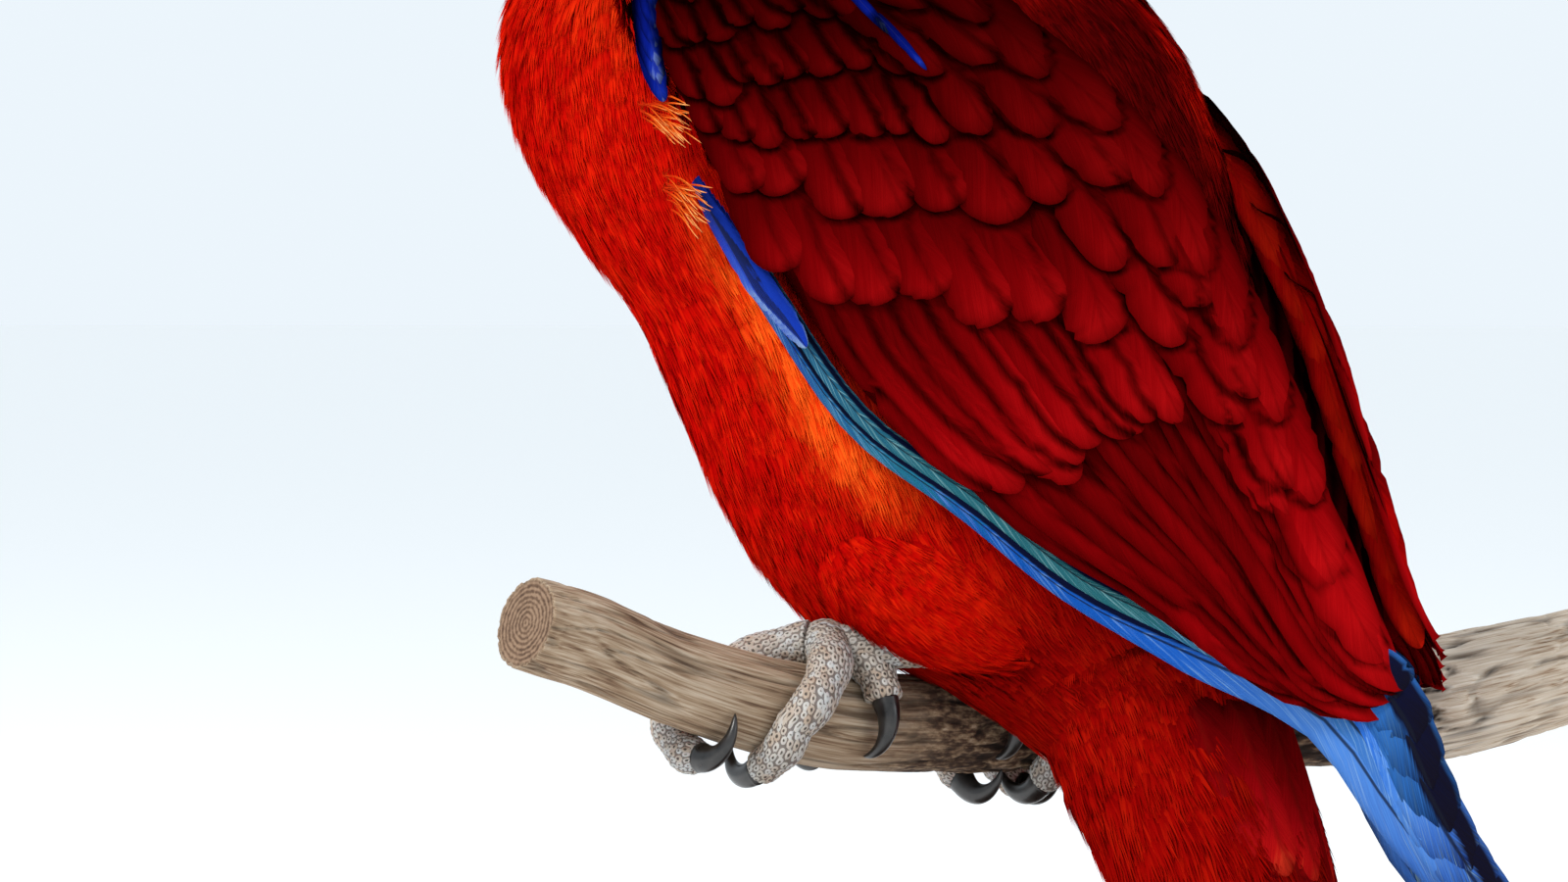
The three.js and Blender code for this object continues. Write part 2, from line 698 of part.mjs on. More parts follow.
// Head, neck and torso are one form, parted by two thin cuts.
const eyes = [-1, 1].map((side) => eyeBall(side, EYE_RADIUS));
const eyeRooms = [-1, 1].map((side) => eyeBall(side, EYE_RADIUS + GAP));
const partingGap = GAP / 11.5; // as a step of the body's table
const head = cut(join([bodySolid(0, HEAD_ENDS, 0), lid(-1), lid(1)]), ...eyeRooms);
const neck = bodySolid(HEAD_ENDS + partingGap, NECK_ENDS, 0);
const branch = branchSolid(0);
const branchRoom = branchSolid(GAP);
const torso = cut(bodySolid(NECK_ENDS + partingGap, BODY_END, 0), branchRoom);
const bodyRoom = bodySolid(0, BODY_END, GAP);
const plainRoom = bodySolid(2, BODY_END, GAP + 1.5, 14); // fewer sides, and so a little wider

const billUpper = cut(billSolid(BILL_UPPER, 9), bodyRoom, nostril(-1), nostril(1));
const billLower = cut(billSolid(BILL_LOWER, 6), bodyRoom, billSolid(BILL_UPPER, 9, GAP));

const bird = new THREE.Group();
bird.add(node("head", head, BRIGHT_RED));
bird.add(node("neck", neck, BRIGHT_RED));
bird.add(node("torso", torso, BRIGHT_RED));
bird.add(node("bill_upper", billUpper, BILL_BLACK));
bird.add(node("bill_lower", billLower, BILL_BLACK));
bird.add(node("eye_left", eyes[0], EYE_YELLOW));
bird.add(node("eye_right", eyes[1], EYE_YELLOW));

const tail = cut(tailSolid(), bodyRoom);
bird.add(node("tail", tail, DARK_RED));

for (const [name, side] of [["left", -1], ["right", 1]]) {
  const feathered = join([wingPad(side), ...wingFeathers(side)]);
  bird.add(node("wing_" + name, cut(feathered, plainRoom, bladeRoom(side)), DARK_RED));
  bird.add(node("primaries_" + name, cut(primaries(side), plainRoom), WING_BLUE));
}

for (const foot of FEET) {
  const thigh = THIGHS[foot.name];
  const toed = cut(footSolid(foot), branchRoom, bodyRoom, thighSolid(thigh, GAP));
  bird.add(node("thigh_" + foot.name, cut(thighSolid(thigh, 0), bodyRoom, branchRoom, tail), BRIGHT_RED));
  bird.add(node("foot_" + foot.name, toed, LEG_GREY));
  for (const toe of foot.toes)
    bird.add(
      node("claw_" + foot.name + "_" + toe[0], cut(clawSolid(foot, toe), branchRoom, bodyRoom), CLAW_BLACK),
    );
}
bird.add(node("perch", branch, BARK_BROWN));

// The bird is lifted until the tail's tip clears the base, and the base is centred under bird and post.
const tailTip = onTail(TAIL_LENGTH, 0, 0).z;
const perchHeight = BASE_THICKNESS + TAIL_CLEARANCE - tailTip;
const BASE_CENTRE = new THREE.Vector2(22, 9);
bird.position.set(-BASE_CENTRE.x, -BASE_CENTRE.y, perchHeight);

const POST_AT = new THREE.Vector2(44, 44.8);
const post = (() => {
  const foot = BASE_THICKNESS + GAP - perchHeight;
  const height = -foot + 4;
  const rod = new THREE.CylinderGeometry(POST_RADIUS, POST_RADIUS, height, 20)
    .rotateX(Math.PI / 2)
    .translate(POST_AT.x, POST_AT.y, foot + height / 2);
  const collar = new THREE.CylinderGeometry(POST_RADIUS + 3.4, POST_RADIUS + 4.4, 5, 20)
    .rotateX(Math.PI / 2)
    .translate(POST_AT.x, POST_AT.y, foot + 2.5);
  return cut(join([solid(rod), solid(collar)]), branchRoom);
})();
bird.add(node("stand_post", post, POST_METAL));

const basePlate = new THREE.LatheGeometry(
  [
    [0, 0], [BASE_RADIUS - 1.5, 0], [BASE_RADIUS, 1.5],
    [BASE_RADIUS, 6.5], [BASE_RADIUS - 1.2, 8], [BASE_RADIUS - 4.2, 9.2],
    [BASE_RADIUS - 5.6, 12.6], [BASE_RADIUS - 7.4, BASE_THICKNESS], [0, BASE_THICKNESS],
  ].map(([r, z]) => new THREE.Vector2(r, z)),
  32,
).rotateX(Math.PI / 2);

const group = new THREE.Group();
group.add(bird);
group.add(node("stand_base", solid(basePlate), BASE_WOOD));

export default group;
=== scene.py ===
import bmesh
import bpy
import math
import numpy as np
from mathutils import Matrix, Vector, kdtree, noise


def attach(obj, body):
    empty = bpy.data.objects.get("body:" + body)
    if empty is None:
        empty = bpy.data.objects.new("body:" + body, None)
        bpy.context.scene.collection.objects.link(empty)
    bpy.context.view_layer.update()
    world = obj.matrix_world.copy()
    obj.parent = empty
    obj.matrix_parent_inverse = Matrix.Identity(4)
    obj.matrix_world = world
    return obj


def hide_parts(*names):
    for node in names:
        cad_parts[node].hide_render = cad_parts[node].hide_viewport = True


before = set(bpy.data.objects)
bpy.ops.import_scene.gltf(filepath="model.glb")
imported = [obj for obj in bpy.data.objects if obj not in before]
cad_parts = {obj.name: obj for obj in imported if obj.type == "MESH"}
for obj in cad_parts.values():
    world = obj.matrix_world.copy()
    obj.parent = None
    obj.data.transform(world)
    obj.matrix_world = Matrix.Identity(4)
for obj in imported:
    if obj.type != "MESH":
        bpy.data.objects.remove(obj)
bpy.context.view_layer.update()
scene = bpy.context.scene
scene.view_settings.view_transform = "Standard"

# ---- Camera, floor and studio light ----
# The museum model stands on a pale table top under two large soft lamps and a weak back lamp. The camera looks at
# its left side from the level of its breast, a little from the front, through a long lens.
MM = 0.001
TURNED, RAISED_BY = math.radians(12), math.radians(1)
CAMERA_DISTANCE, SEEN_WIDTH = 1600, 284.2  # millimetres: to the bird, and what the picture takes in there
ahead = math.cos(RAISED_BY)
looking = Vector((-math.sin(TURNED) * ahead, math.cos(TURNED) * ahead, -math.sin(RAISED_BY)))
aim = Vector((-44.5, -13.8, 159.8)) * MM
lens = bpy.data.cameras.new("camera")
lens.sensor_width = 36
lens.lens = lens.sensor_width * CAMERA_DISTANCE / SEEN_WIDTH
lens.clip_end = 60
camera = bpy.data.objects.new("camera", lens)
camera.location = aim - looking * (CAMERA_DISTANCE * MM)
camera.rotation_euler = looking.to_track_quat("-Z", "Y").to_euler()
scene.collection.objects.link(camera)
scene.camera = camera


def node_in(tree, kind, inputs=None, **settings):
    """One node of a shader or geometry tree, with its settings, and its inputs set or linked."""
    made = tree.nodes.new(kind)
    for key, value in settings.items():
        setattr(made, key, value)
    for key, value in (inputs or {}).items():
        if isinstance(value, bpy.types.NodeSocket):
            tree.links.new(value, made.inputs[key])
        else:
            made.inputs[key].default_value = value
    return made


def finish_named(name, **looks):
    """A new material, its tree and its main shader, with values of the shader, such as Roughness, set on it."""
    made = bpy.data.materials.new(name)
    made.use_nodes = True
    tree = made.node_tree
    shader = tree.nodes["Principled BSDF"]
    for key, value in looks.items():
        shader.inputs[key.replace("_", " ")].default_value = value
    return made, tree, shader


def soft_lamp(name, at, size, watts, tint):
    """A round area lamp that points at the bird."""
    lamp = bpy.data.lights.new(name, "AREA")
    lamp.shape = "DISK"
    lamp.size = size
    lamp.energy = watts
    lamp.color = tint
    held = bpy.data.objects.new(name, lamp)
    held.location = at
    held.rotation_euler = (aim - Vector(at)).to_track_quat("-Z", "Y").to_euler()
    scene.collection.objects.link(held)


soft_lamp("lamp_front", (-1.3, -1.5, 2.0), 0.8, 62, (1.0, 0.97, 0.93))
soft_lamp("lamp_side", (1.9, -0.9, 1.0), 1.2, 10, (0.93, 0.96, 1.0))
soft_lamp("lamp_back", (0.4, 0.8, 0.8), 0.5, 3.6, (1.0, 1.0, 1.0))
room = bpy.data.worlds.new("room")
room.use_nodes = True
room.node_tree.nodes["Background"].inputs["Color"].default_value = (0.84, 0.915, 0.975, 1)
scene.world = room

FAR = 40  # metres from the middle of the table top to its edges, all out of view
table_mesh = bpy.data.meshes.new("table_top")
table_mesh.from_pydata([(-FAR, -FAR, 0), (FAR, -FAR, 0), (FAR, FAR, 0), (-FAR, FAR, 0)], [], [(0, 1, 2, 3)])
table = bpy.data.objects.new("table_top", table_mesh)
scene.collection.objects.link(table)
table_paint, _, _ = finish_named(
    "table_paint", Base_Color=(0.99, 0.99, 0.985, 1), Roughness=1.0, Specular_IOR_Level=0.1)
table_mesh.materials.append(table_paint)

# ---- Base of the stand ----
# A round plate of dark stained walnut, turned on a lathe to a stepped edge, oiled, and felted underneath. The
# grain of the board runs from left to right.
BIRD_AT = np.array([-22.0, -9.0, 108.281])  # where the point between the feet lies, in millimetres
BASE_THICKNESS = 14.0
BASE_PROFILE = [(90.5, 0), (92, 1.5), (92, 6.5), (90.8, 8), (87.8, 9.2), (86.4, 12.6), (84.6, BASE_THICKNESS)]


def piece_from(name, points, faces, on_bird=True):
    """A smooth-shaded mesh object from points in millimetres, about the bird's own origin or the base's."""
    mesh = bpy.data.meshes.new(name)
    shifted = (np.asarray(points, float) + (BIRD_AT if on_bird else 0)) * MM
    mesh.from_pydata(shifted.tolist(), [], faces)
    mesh.shade_smooth()
    piece = bpy.data.objects.new(name, mesh)
    scene.collection.objects.link(piece)
    return piece


def closed_rings(rings):
    """Points and faces of the closed surface through rings of equal count, with a fan at each end."""
    rings = np.asarray(rings, float)
    count, sides = rings.shape[:2]
    points = np.vstack([rings.reshape(-1, 3), rings[0].mean(0), rings[-1].mean(0)])
    faces = []
    for i in range(count - 1):
        for j in range(sides):
            k = (j + 1) % sides
            faces.append((i * sides + j, i * sides + k, (i + 1) * sides + k, (i + 1) * sides + j))
    last = (count - 1) * sides
    for j in range(sides):
        k = (j + 1) % sides
        faces.append((k, j, count * sides))
        faces.append((last + j, last + k, count * sides + 1))
    return points, faces


def face_outwards(piece, weld=True):
    """Turns the faces of a closed piece outwards, with doubled points welded first."""
    work = bmesh.new()
    work.from_mesh(piece.data)
    if weld:
        bmesh.ops.remove_doubles(work, verts=work.verts, dist=1e-6)
    bmesh.ops.recalc_face_normals(work, faces=work.faces)
    work.to_mesh(piece.data)
    work.free()
    return piece


def ringed_piece(name, rings, on_bird=True):
    """A closed piece through rings, with its faces outwards."""
    return face_outwards(piece_from(name, *closed_rings(rings), on_bird))


def store(piece, name, values, kind="FLOAT"):
    """A value for each point of the piece, for its material."""
    held = piece.data.attributes.new(name, kind, "POINT")
    key = "value" if kind == "FLOAT" else "vector"
    held.data.foreach_set(key, np.asarray(values, np.float32).ravel())


def turned(profile, centre, sides=128):
    """Rings of a lathe-turned form from its radii and heights."""
    round_ = np.linspace(0, 2 * math.pi, sides, endpoint=False)
    return [[(centre[0] + r * math.cos(a), centre[1] + r * math.sin(a), z) for a in round_] for r, z in profile]


def rounded(profile, reach=0.5, steps=4):
    """A profile with each inner corner turned into a small arc."""
    out = [profile[0]]
    for before, at, after in zip(profile, profile[1:], profile[2:]):
        at, before, after = Vector(at), Vector(before), Vector(after)
        start = at + (before - at).normalized() * min(reach, (before - at).length * 0.45)
        end = at + (after - at).normalized() * min(reach, (after - at).length * 0.45)
        for k in range(steps + 1):
            f = k / steps
            out.append(tuple(start * (1 - f) ** 2 + at * 2 * f * (1 - f) + end * f ** 2))
    return out + [profile[-1]]


def own_place(tree):
    """The place of each point on the piece, in metres."""
    return node_in(tree, "ShaderNodeTexCoord").outputs["Object"]


def noise_of(tree, vector, scale, detail=4.0, stretch=(1, 1, 1), distortion=0.0):
    """Cloudy noise over a vector, stretched along its axes."""
    stretched = node_in(tree, "ShaderNodeMapping", {"Vector": vector, "Scale": stretch}).outputs["Vector"]
    inputs = {"Vector": stretched, "Scale": scale, "Detail": detail, "Distortion": distortion}
    return node_in(tree, "ShaderNodeTexNoise", inputs).outputs["Fac"]


def sums(tree, *parts):
    """The sum of sockets, each with its weight."""
    total = 0.0
    for socket, weight in parts:
        inputs = {0: socket, 1: weight, 2: total}
        total = node_in(tree, "ShaderNodeMath", inputs, operation="MULTIPLY_ADD").outputs[0]
    return total


def colours(tree, factor, stops):
    """A colour ramp over a factor, from its stops as position and colour."""
    ramp = node_in(tree, "ShaderNodeValToRGB", {"Fac": factor})
    ramp.color_ramp.elements.remove(ramp.color_ramp.elements[1])
    for i, (position, colour) in enumerate(stops):
        stop = ramp.color_ramp.elements[0] if i == 0 else ramp.color_ramp.elements.new(position)
        stop.position, stop.color = position, (*colour, 1)
    return ramp.outputs["Color"]


def painted(tree, shader, colour):
    tree.links.new(colour, shader.inputs["Base Color"])


def bumped(tree, shader, height, strength, distance):
    """Raises the finish by a height from 0 to 1, over a distance in metres."""
    made = node_in(tree, "ShaderNodeBump", {"Height": height, "Strength": strength, "Distance": distance})
    tree.links.new(made.outputs["Normal"], shader.inputs["Normal"])


walnut, tree, shader = finish_named("oiled_walnut", Roughness=0.34, Coat_Weight=0.25, Coat_Roughness=0.2)
grain = noise_of(tree, own_place(tree), 1.0, 7.0, (9, 95, 60), 0.7)
pores = noise_of(tree, own_place(tree), 1.0, 3.0, (60, 900, 700))
figure = sums(tree, (grain, 0.8), (pores, 0.2))
painted(tree, shader, colours(tree, figure, [
    (0.34, (0.018, 0.008, 0.004)), (0.5, (0.060, 0.026, 0.013)), (0.66, (0.115, 0.052, 0.026))]))
bumped(tree, shader, figure, 0.12, 0.0006)

underside, middle = [(4, 0), (60, 0)], [(r, BASE_THICKNESS) for r in (70, 45, 20, 4)]
edge = rounded([(88, 0)] + BASE_PROFILE + [(80, BASE_THICKNESS)], 0.6)
base = ringed_piece("base_plate", turned(underside + edge + middle, (0, 0)), on_bird=False)
base.data.materials.append(walnut)
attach(base, "root")
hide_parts("stand_base")

# ---- Post of the stand ----
# A steel rod with a turned collar, screwed up through the base and into the underside of the branch. It is satin
# finished and lightly browned, and a thin ferrule closes the hole in the bark.
POST_AT, ROD_RADIUS = (44.0, 44.8), 4.2
POST_FOOT = BASE_THICKNESS + 0.3 - BIRD_AT[2]
collar = [(8.2, 0), (8.6, 0.5), (8.6, 1.6), (7.9, 2.2), (7.7, 3.6), (6.2, 4.4), (5.6, 5), (4.3, 5.4)]
ferrule = [(ROD_RADIUS, -12.6), (5.6, -12.2), (6.0, -11.4), (6.0, -9.2), (ROD_RADIUS, -6.2)]
foot_end = rounded([(1, 0)] + collar + [(ROD_RADIUS, 9)], 0.35) + [(ROD_RADIUS, 40)]
branch_end = rounded([(ROD_RADIUS, -16)] + ferrule, 0.3)
post = ringed_piece("post", turned([(r, z + POST_FOOT) for r, z in foot_end] + branch_end, POST_AT, 64))


def ranged(tree, value, low=0.0, high=1.0, to_low=0.0, to_high=1.0, way="LINEAR"):
    """A value moved from one range to another, and held inside it."""
    inputs = {"Value": value, "From Min": low, "From Max": high, "To Min": to_low, "To Max": to_high}
    return node_in(tree, "ShaderNodeMapRange", inputs, interpolation_type=way).outputs["Result"]


steel, tree, shader = finish_named("browned_steel", Metallic=0.9)
lathe_marks = noise_of(tree, own_place(tree), 1.0, 2.0, (40, 40, 2600))
cloud = noise_of(tree, own_place(tree), 70.0)
painted(tree, shader, colours(tree, cloud, [(0.35, (0.13, 0.115, 0.10)), (0.7, (0.24, 0.22, 0.20))]))
tree.links.new(ranged(tree, lathe_marks, to_low=0.26, to_high=0.46), shader.inputs["Roughness"])
bumped(tree, shader, lathe_marks, 0.08, 0.0002)
post.data.materials.append(steel)
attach(post, "root")
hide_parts("stand_post")

# ---- Perch ----
# A cut length of a dead branch, its bark weathered away to grained grey wood at the left and still rough at the
# right. Both ends are sawn across. It is fixed on the post and carries the whole bird.
BRANCH = np.array([
    (-55.9, -65.3, 20.5, 8.2), (-48, -56.2, 17.3, 8.4), (-33.8, -41, 9.6, 8.7), (-13.6, -18.2, 2.2, 8.8),
    (0, 0, 0.4, 8.9), (12.7, 17.2, -0.4, 8.7), (24, 31.5, -0.4, 8.9), (46.5, 46, 0.2, 9.6), (65, 53, 0.8, 10.4),
    (84, 61, 2.2, 11.2), (107, 69.5, 7.6, 10.6), (118, 73.5, 10.8, 10.4),
])  # points on its centreline from the bird's own origin, and its radius at each


def line_through(points):
    """A smooth curve through points, from the share 0 at the first to 1 at the last."""
    points = np.asarray(points, float)
    ends = np.vstack([2 * points[0] - points[1], points, 2 * points[-1] - points[-2]])

    def at(share):
        share = min(max(share, 0), 1) * (len(points) - 1)
        i = min(int(share), len(points) - 2)
        f, (p0, p1, p2, p3) = share - i, ends[i:i + 4]
        d0, d1, d2 = (max(np.linalg.norm(b - a) ** 0.5, 1e-3) for a, b in ((p0, p1), (p1, p2), (p2, p3)))
        s1 = ((p1 - p0) / d0 - (p2 - p0) / (d0 + d1) + (p2 - p1) / d1) * d1
        s2 = ((p2 - p1) / d1 - (p3 - p1) / (d1 + d2) + (p3 - p2) / d2) * d1
        return p1 + f * (s1 + f * (3 * (p2 - p1) - 2 * s1 - s2 + f * (2 * (p1 - p2) + s1 + s2)))

    return at


def smooth(rows):
    """Smooth values between the rows of a table, whose first column is the position."""
    rows = np.asarray(rows, float)
    at_row, values = rows[:, 0], rows[:, 1:]
    before = np.maximum(np.arange(len(rows)) - 1, 0)
    after = np.minimum(np.arange(len(rows)) + 1, len(rows) - 1)
    slopes = (values[after] - values[before]) / (at_row[after] - at_row[before])[:, None]

    def value(at):
        at = np.clip(np.asarray(at, float), at_row[0], at_row[-1])
        i = np.clip(np.searchsorted(at_row, at, side="left") - 1, 0, len(rows) - 2)
        step = (at_row[i + 1] - at_row[i])[..., None]
        f = (at - at_row[i])[..., None] / step
        rise, s0, s1 = values[i + 1] - values[i], slopes[i] * step, slopes[i + 1] * step
        return values[i] + f * (s0 + f * (3 * rise - 2 * s0 - s1 + f * (s0 + s1 - 2 * rise)))

    return value


branch_line = line_through(BRANCH[:, :3])
branch_radius = smooth(np.column_stack([np.linspace(0, 1, len(BRANCH)), BRANCH[:, 3]]))
STRETCHES = 400  # short and straight, for measuring the branch
line_points = [branch_line(k / STRETCHES) for k in range(STRETCHES + 1)]
BRANCH_LENGTH = sum(np.linalg.norm(after - before) for before, after in zip(line_points, line_points[1:]))


def unit(vector):
    return vector / np.linalg.norm(vector)


def branch_frame(t):
    """The branch's direction, its side towards the bird's front, and its upper side."""
    along = unit(branch_line(min(t + 1e-3, 1)) - branch_line(max(t - 1e-3, 0)))
    front = unit(np.cross((0, 0, 1), along))
    return along, front, np.cross(along, front)


def wander(x, y, z):
    """Noise about 0 that changes smoothly from point to point."""
    return noise.noise((x, y, z))


def cleft(x, y, z, sharpness):
    """1 in the middle of a narrow cleft that wanders over the bark, and 0 beside it."""
    return 1 - min(1, abs(wander(x, y, z)) * sharpness)


def eased(low, high, value):
    """A soft step from 0 at the low value to 1 at the high one."""
    f = np.clip((np.asarray(value, float) - low) / (high - low), 0, 1)
    return f * f * (3 - 2 * f)


STATIONS, SIDES = 300, 112
KNOTS = [(0.13, 75, 3.4, 1.5), (0.62, 150, 4.6, 1.3), (0.86, 60, 5.4, 2.4)]  # along, round, size and height
HIGHEST_BARK = 2.2
SAWN_RINGS = [0.12, 0.35, 0.6, 0.85, 0.95]  # how far out each ring of a sawn end lies
rings, grain, bark, cut = [], [], [], []
stations = [0] * len(SAWN_RINGS) + list(np.linspace(0, 1, STATIONS)) + [1] * len(SAWN_RINGS)
shrunk = SAWN_RINGS + [1] * STATIONS + SAWN_RINGS[::-1]
for t, share in zip(stations, shrunk):
    along, front, up = branch_frame(t)
    middle, radius = branch_line(t), branch_radius(t)[0] + 0.35 * math.sin(9 * t) * math.sin(23 * t + 1)
    s = t * BRANCH_LENGTH
    rough = float(eased(0.34, 0.46, t) * (1 - 0.75 * eased(0.78, 0.9, t)))
    ring, radius = [], radius - (0.35 if share < 1 else 0)
    for k in range(SIDES):
        turn = 2 * math.pi * k / SIDES
        c, d = math.cos(turn), math.sin(turn)
        split = cleft(c * 2.3, d * 2.3, s * 0.03 + 7, 7)
        fibre = wander(c * 9, d * 9, s * 0.09)
        plate = wander(c * 3.2 + 5, d * 3.2, s * 0.16)
        crack = cleft(c * 4.2, d * 4.2 + 9, s * 0.11, 4.5)
        relief = (0.16 * fibre - 0.5 * split) * (1 - rough) + (0.55 * plate - 0.95 * crack + 0.2 * fibre) * rough
        for place, way, size, height in KNOTS:
            off = math.hypot((t - place) * BRANCH_LENGTH, (math.degrees(turn) - way) / 57.3 * radius) / size
            relief += height * math.exp(-off * off) - 0.55 * height * math.exp(-(off / 0.42) ** 2)
        reach = (radius + min(relief, HIGHEST_BARK)) * share
        if share < 1:
            relief = 0.12 * math.sin(reach * 7) + 0.15 * wander(c * reach, d * reach, t)
        ring.append(middle + (up * c + front * d) * reach + along * (0.12 * wander(c * reach * 2, d * reach * 2, t)))
        grain.append((c * reach, d * reach, s))
        bark.append(relief)
        cut.append(1.0 if share < 1 else 0.0)
    rings.append(ring)
perch = ringed_piece("perch_branch", rings)
store(perch, "relief", bark + [0, 0])
store(perch, "cut", cut + [1, 1])
store(perch, "grain", grain + [(0, 0, 0), (0, 0, BRANCH_LENGTH)], "FLOAT_VECTOR")


def mixed_colour(tree, factor, first, second, blend="MIX"):
    """One colour over another, by a factor."""
    inputs = {0: factor, 6: first, 7: second}
    return node_in(tree, "ShaderNodeMix", inputs, data_type="RGBA", blend_type=blend).outputs[2]


def attribute(tree, name, output="Fac"):
    """What a piece's mesh stores for each point, as a number or as a Vector."""
    return node_in(tree, "ShaderNodeAttribute", attribute_name=name).outputs[output]


def parts_of(tree, vector):
    """The three numbers of a vector."""
    return list(node_in(tree, "ShaderNodeSeparateXYZ", {"Vector": vector}).outputs)


def combined(tree, *parts):
    """A vector from its numbers."""
    return node_in(tree, "ShaderNodeCombineXYZ", dict(zip("XYZ", parts))).outputs["Vector"]


weathered, tree, shader = finish_named("weathered_wood_and_bark", Roughness=0.88, Specular_IOR_Level=0.25)
lie = attribute(tree, "grain", "Vector")
lie_x, lie_y, along_it = parts_of(tree, lie)
fibres = noise_of(tree, lie, 1.0, 6.0, (2.2, 2.2, 0.09), 0.4)
blotches = noise_of(tree, lie, 1.0, 3.0, (0.16, 0.16, 0.05))
flecks = noise_of(tree, lie, 1.0, 5.0, (1.1, 1.1, 0.5))
relief = attribute(tree, "relief")
wood = sums(tree, (fibres, 0.75), (blotches, 0.35))
bare_tone = colours(tree, wood, [
    (0.34, (0.045, 0.022, 0.013)), (0.45, (0.18, 0.11, 0.066)), (0.55, (0.29, 0.205, 0.132)),
    (0.72, (0.44, 0.35, 0.26))])
bark_tone = colours(tree, sums(tree, (flecks, 0.8), (relief, 0.16), (fibres, 0.2)), [
    (0.30, (0.012, 0.008, 0.006)), (0.46, (0.075, 0.042, 0.026)), (0.58, (0.22, 0.145, 0.085)),
    (0.72, (0.42, 0.33, 0.23))])
pale_tone = colours(tree, wood, [
    (0.34, (0.10, 0.055, 0.03)), (0.42, (0.30, 0.20, 0.125)), (0.52, (0.50, 0.40, 0.30)), (0.72, (0.66, 0.58, 0.48))])
peeled = ranged(tree, sums(tree, (along_it, 1.0), (blotches, 26.0)), 84.0, 98.0)
worn = ranged(tree, sums(tree, (along_it, 1.0), (blotches, 30.0)), 182.0, 206.0)
outside = mixed_colour(tree, worn, mixed_colour(tree, peeled, bare_tone, bark_tone), pale_tone)
outside = mixed_colour(tree, ranged(tree, relief, -0.75, -0.15), (0.016, 0.009, 0.006, 1), outside)
year_rings = {"Vector": combined(tree, lie_x, lie_y), "Scale": 0.33, "Distortion": 2.4, "Detail": 3.0}
years = node_in(tree, "ShaderNodeTexWave", year_rings, wave_type="RINGS", rings_direction="SPHERICAL").outputs["Fac"]
sawn_tone = colours(tree, sums(tree, (years, 0.28), (flecks, 0.8), (blotches, 0.3)), [
    (0.35, (0.035, 0.018, 0.011)), (0.6, (0.115, 0.066, 0.040)), (0.85, (0.24, 0.155, 0.10))])
painted(tree, shader, mixed_colour(tree, attribute(tree, "cut"), outside, sawn_tone))
bumped(tree, shader, sums(tree, (fibres, 0.7), (flecks, 0.3)), 0.55, 0.0007)
perch.data.materials.append(weathered)
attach(perch, "root")
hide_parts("perch")

# ---- Feet ----
# The bare shanks and toes: two toes in front of the branch and two behind it, in thick wrinkled skin with small
# domed scales, and one row of broad scutes along the top of each toe.
TOE_RADIUS, CLAW_RADIUS, CLAW_TURN = 4.1, 2.5, 58
FEET = {
    "left": (3 / 11, (12, -18, 15), [(1, -72, 3, 5), (2, 92, 1, 5), (3, 186, -2, -16), (4, -166, -1, -9)]),
    "right": (5 / 11, (30, 17, 17), [(1, -70, 0, -7), (2, 150, -2, -3), (3, 166, 2, 11), (4, -150, 2, 6)]),
}  # place along the branch, heel, and for each toe its number, reach round the branch, and shift along it


def beside_branch(t, turn, reach):
    """The point beside the branch, turned round it from straight up towards the bird's front, in degrees."""
    _, front, up = branch_frame(t)
    radius = branch_radius(min(max(t, 0), 1))[0] + 0.3 + reach
    turn = math.radians(turn)
    return branch_line(t) + (up * math.cos(turn) + front * math.sin(turn)) * radius


def chance(row, column=0.0):
    """A chance number from 0 to 1, always the same for the scale in one row and column."""
    value = math.sin(row * 12.9898 + column * 78.233) * 43758.5453
    return value - math.floor(value)


SCALE_REACH = 0.56  # from the middle of a scale to its groove, as a share of the space between scales


def scaled_tube(centres, radii, across, sides, pitch, height, scutes=0.0):
    """Rings of a scaly tube, and for each point its depth in a scale's groove and its scale's chance number."""
    centres = np.asarray(centres, float)
    along = np.gradient(centres, axis=0)
    lengths = np.concatenate([[0], np.cumsum(np.linalg.norm(np.diff(centres, axis=0), axis=1))])
    around = max(6, round(2 * math.pi * max(radii) / pitch))
    rings, groove, chances = [], [], []
    for i, (middle, radius) in enumerate(zip(centres, radii)):
        ahead = unit(along[i])
        side = unit(np.cross(ahead, across))
        out = np.cross(side, ahead)
        ring = []
        for k in range(sides):
            turn = k / sides
            on_top = abs((turn - 0.25 + 0.5) % 1 - 0.5) < scutes
            row = lengths[i] / (pitch * (0.8 if on_top else 0.87))
            best, which = 9.0, 0.0
            for r in (math.floor(row) - 1, math.floor(row), math.floor(row) + 1):
                column = turn * around + 0.5 * (r % 2)
                c = round(column)
                jitter = chance(r, c % around)
                away = (column - c - 0.24 * (jitter - 0.5), (row - r - 0.24 * (jitter * 7 % 1 - 0.5)) * 0.9)
                if on_top:
                    away, jitter = (0.0, row - r), chance(r)
                distance = math.hypot(*away)
                if distance < best:
                    best, which = distance, jitter
            depth = min(1, best / SCALE_REACH)
            lift = height * (1 - depth ** 3)
            angle = 2 * math.pi * turn
            ring.append(middle + (side * math.cos(angle) + out * math.sin(angle)) * (radius + lift - height * 0.6))
            groove.append(depth)
            chances.append(which)
        rings.append(ring)
    return rings, groove, chances


def together(forms):
    """The points and faces of several closed forms as one."""
    points, faces, count = [], [], 0
    for form_points, form_faces in forms:
        points.append(form_points)
        faces += [tuple(i + count for i in face) for face in form_faces]
        count += len(form_points)
    return np.vstack(points), faces


def joined_pieces(name, parts):
    """One object from several closed ring forms, each with values for its points in groove and chance."""
    tubes, grooves, chances = zip(*parts)
    piece = piece_from(name, *together([closed_rings(rings) for rings in tubes]))
    for label, values in (("groove", grooves), ("chance", chances)):
        store(piece, label, np.concatenate([list(part) + [0.5, 0.5] for part in values]))
    return face_outwards(piece, weld=False)


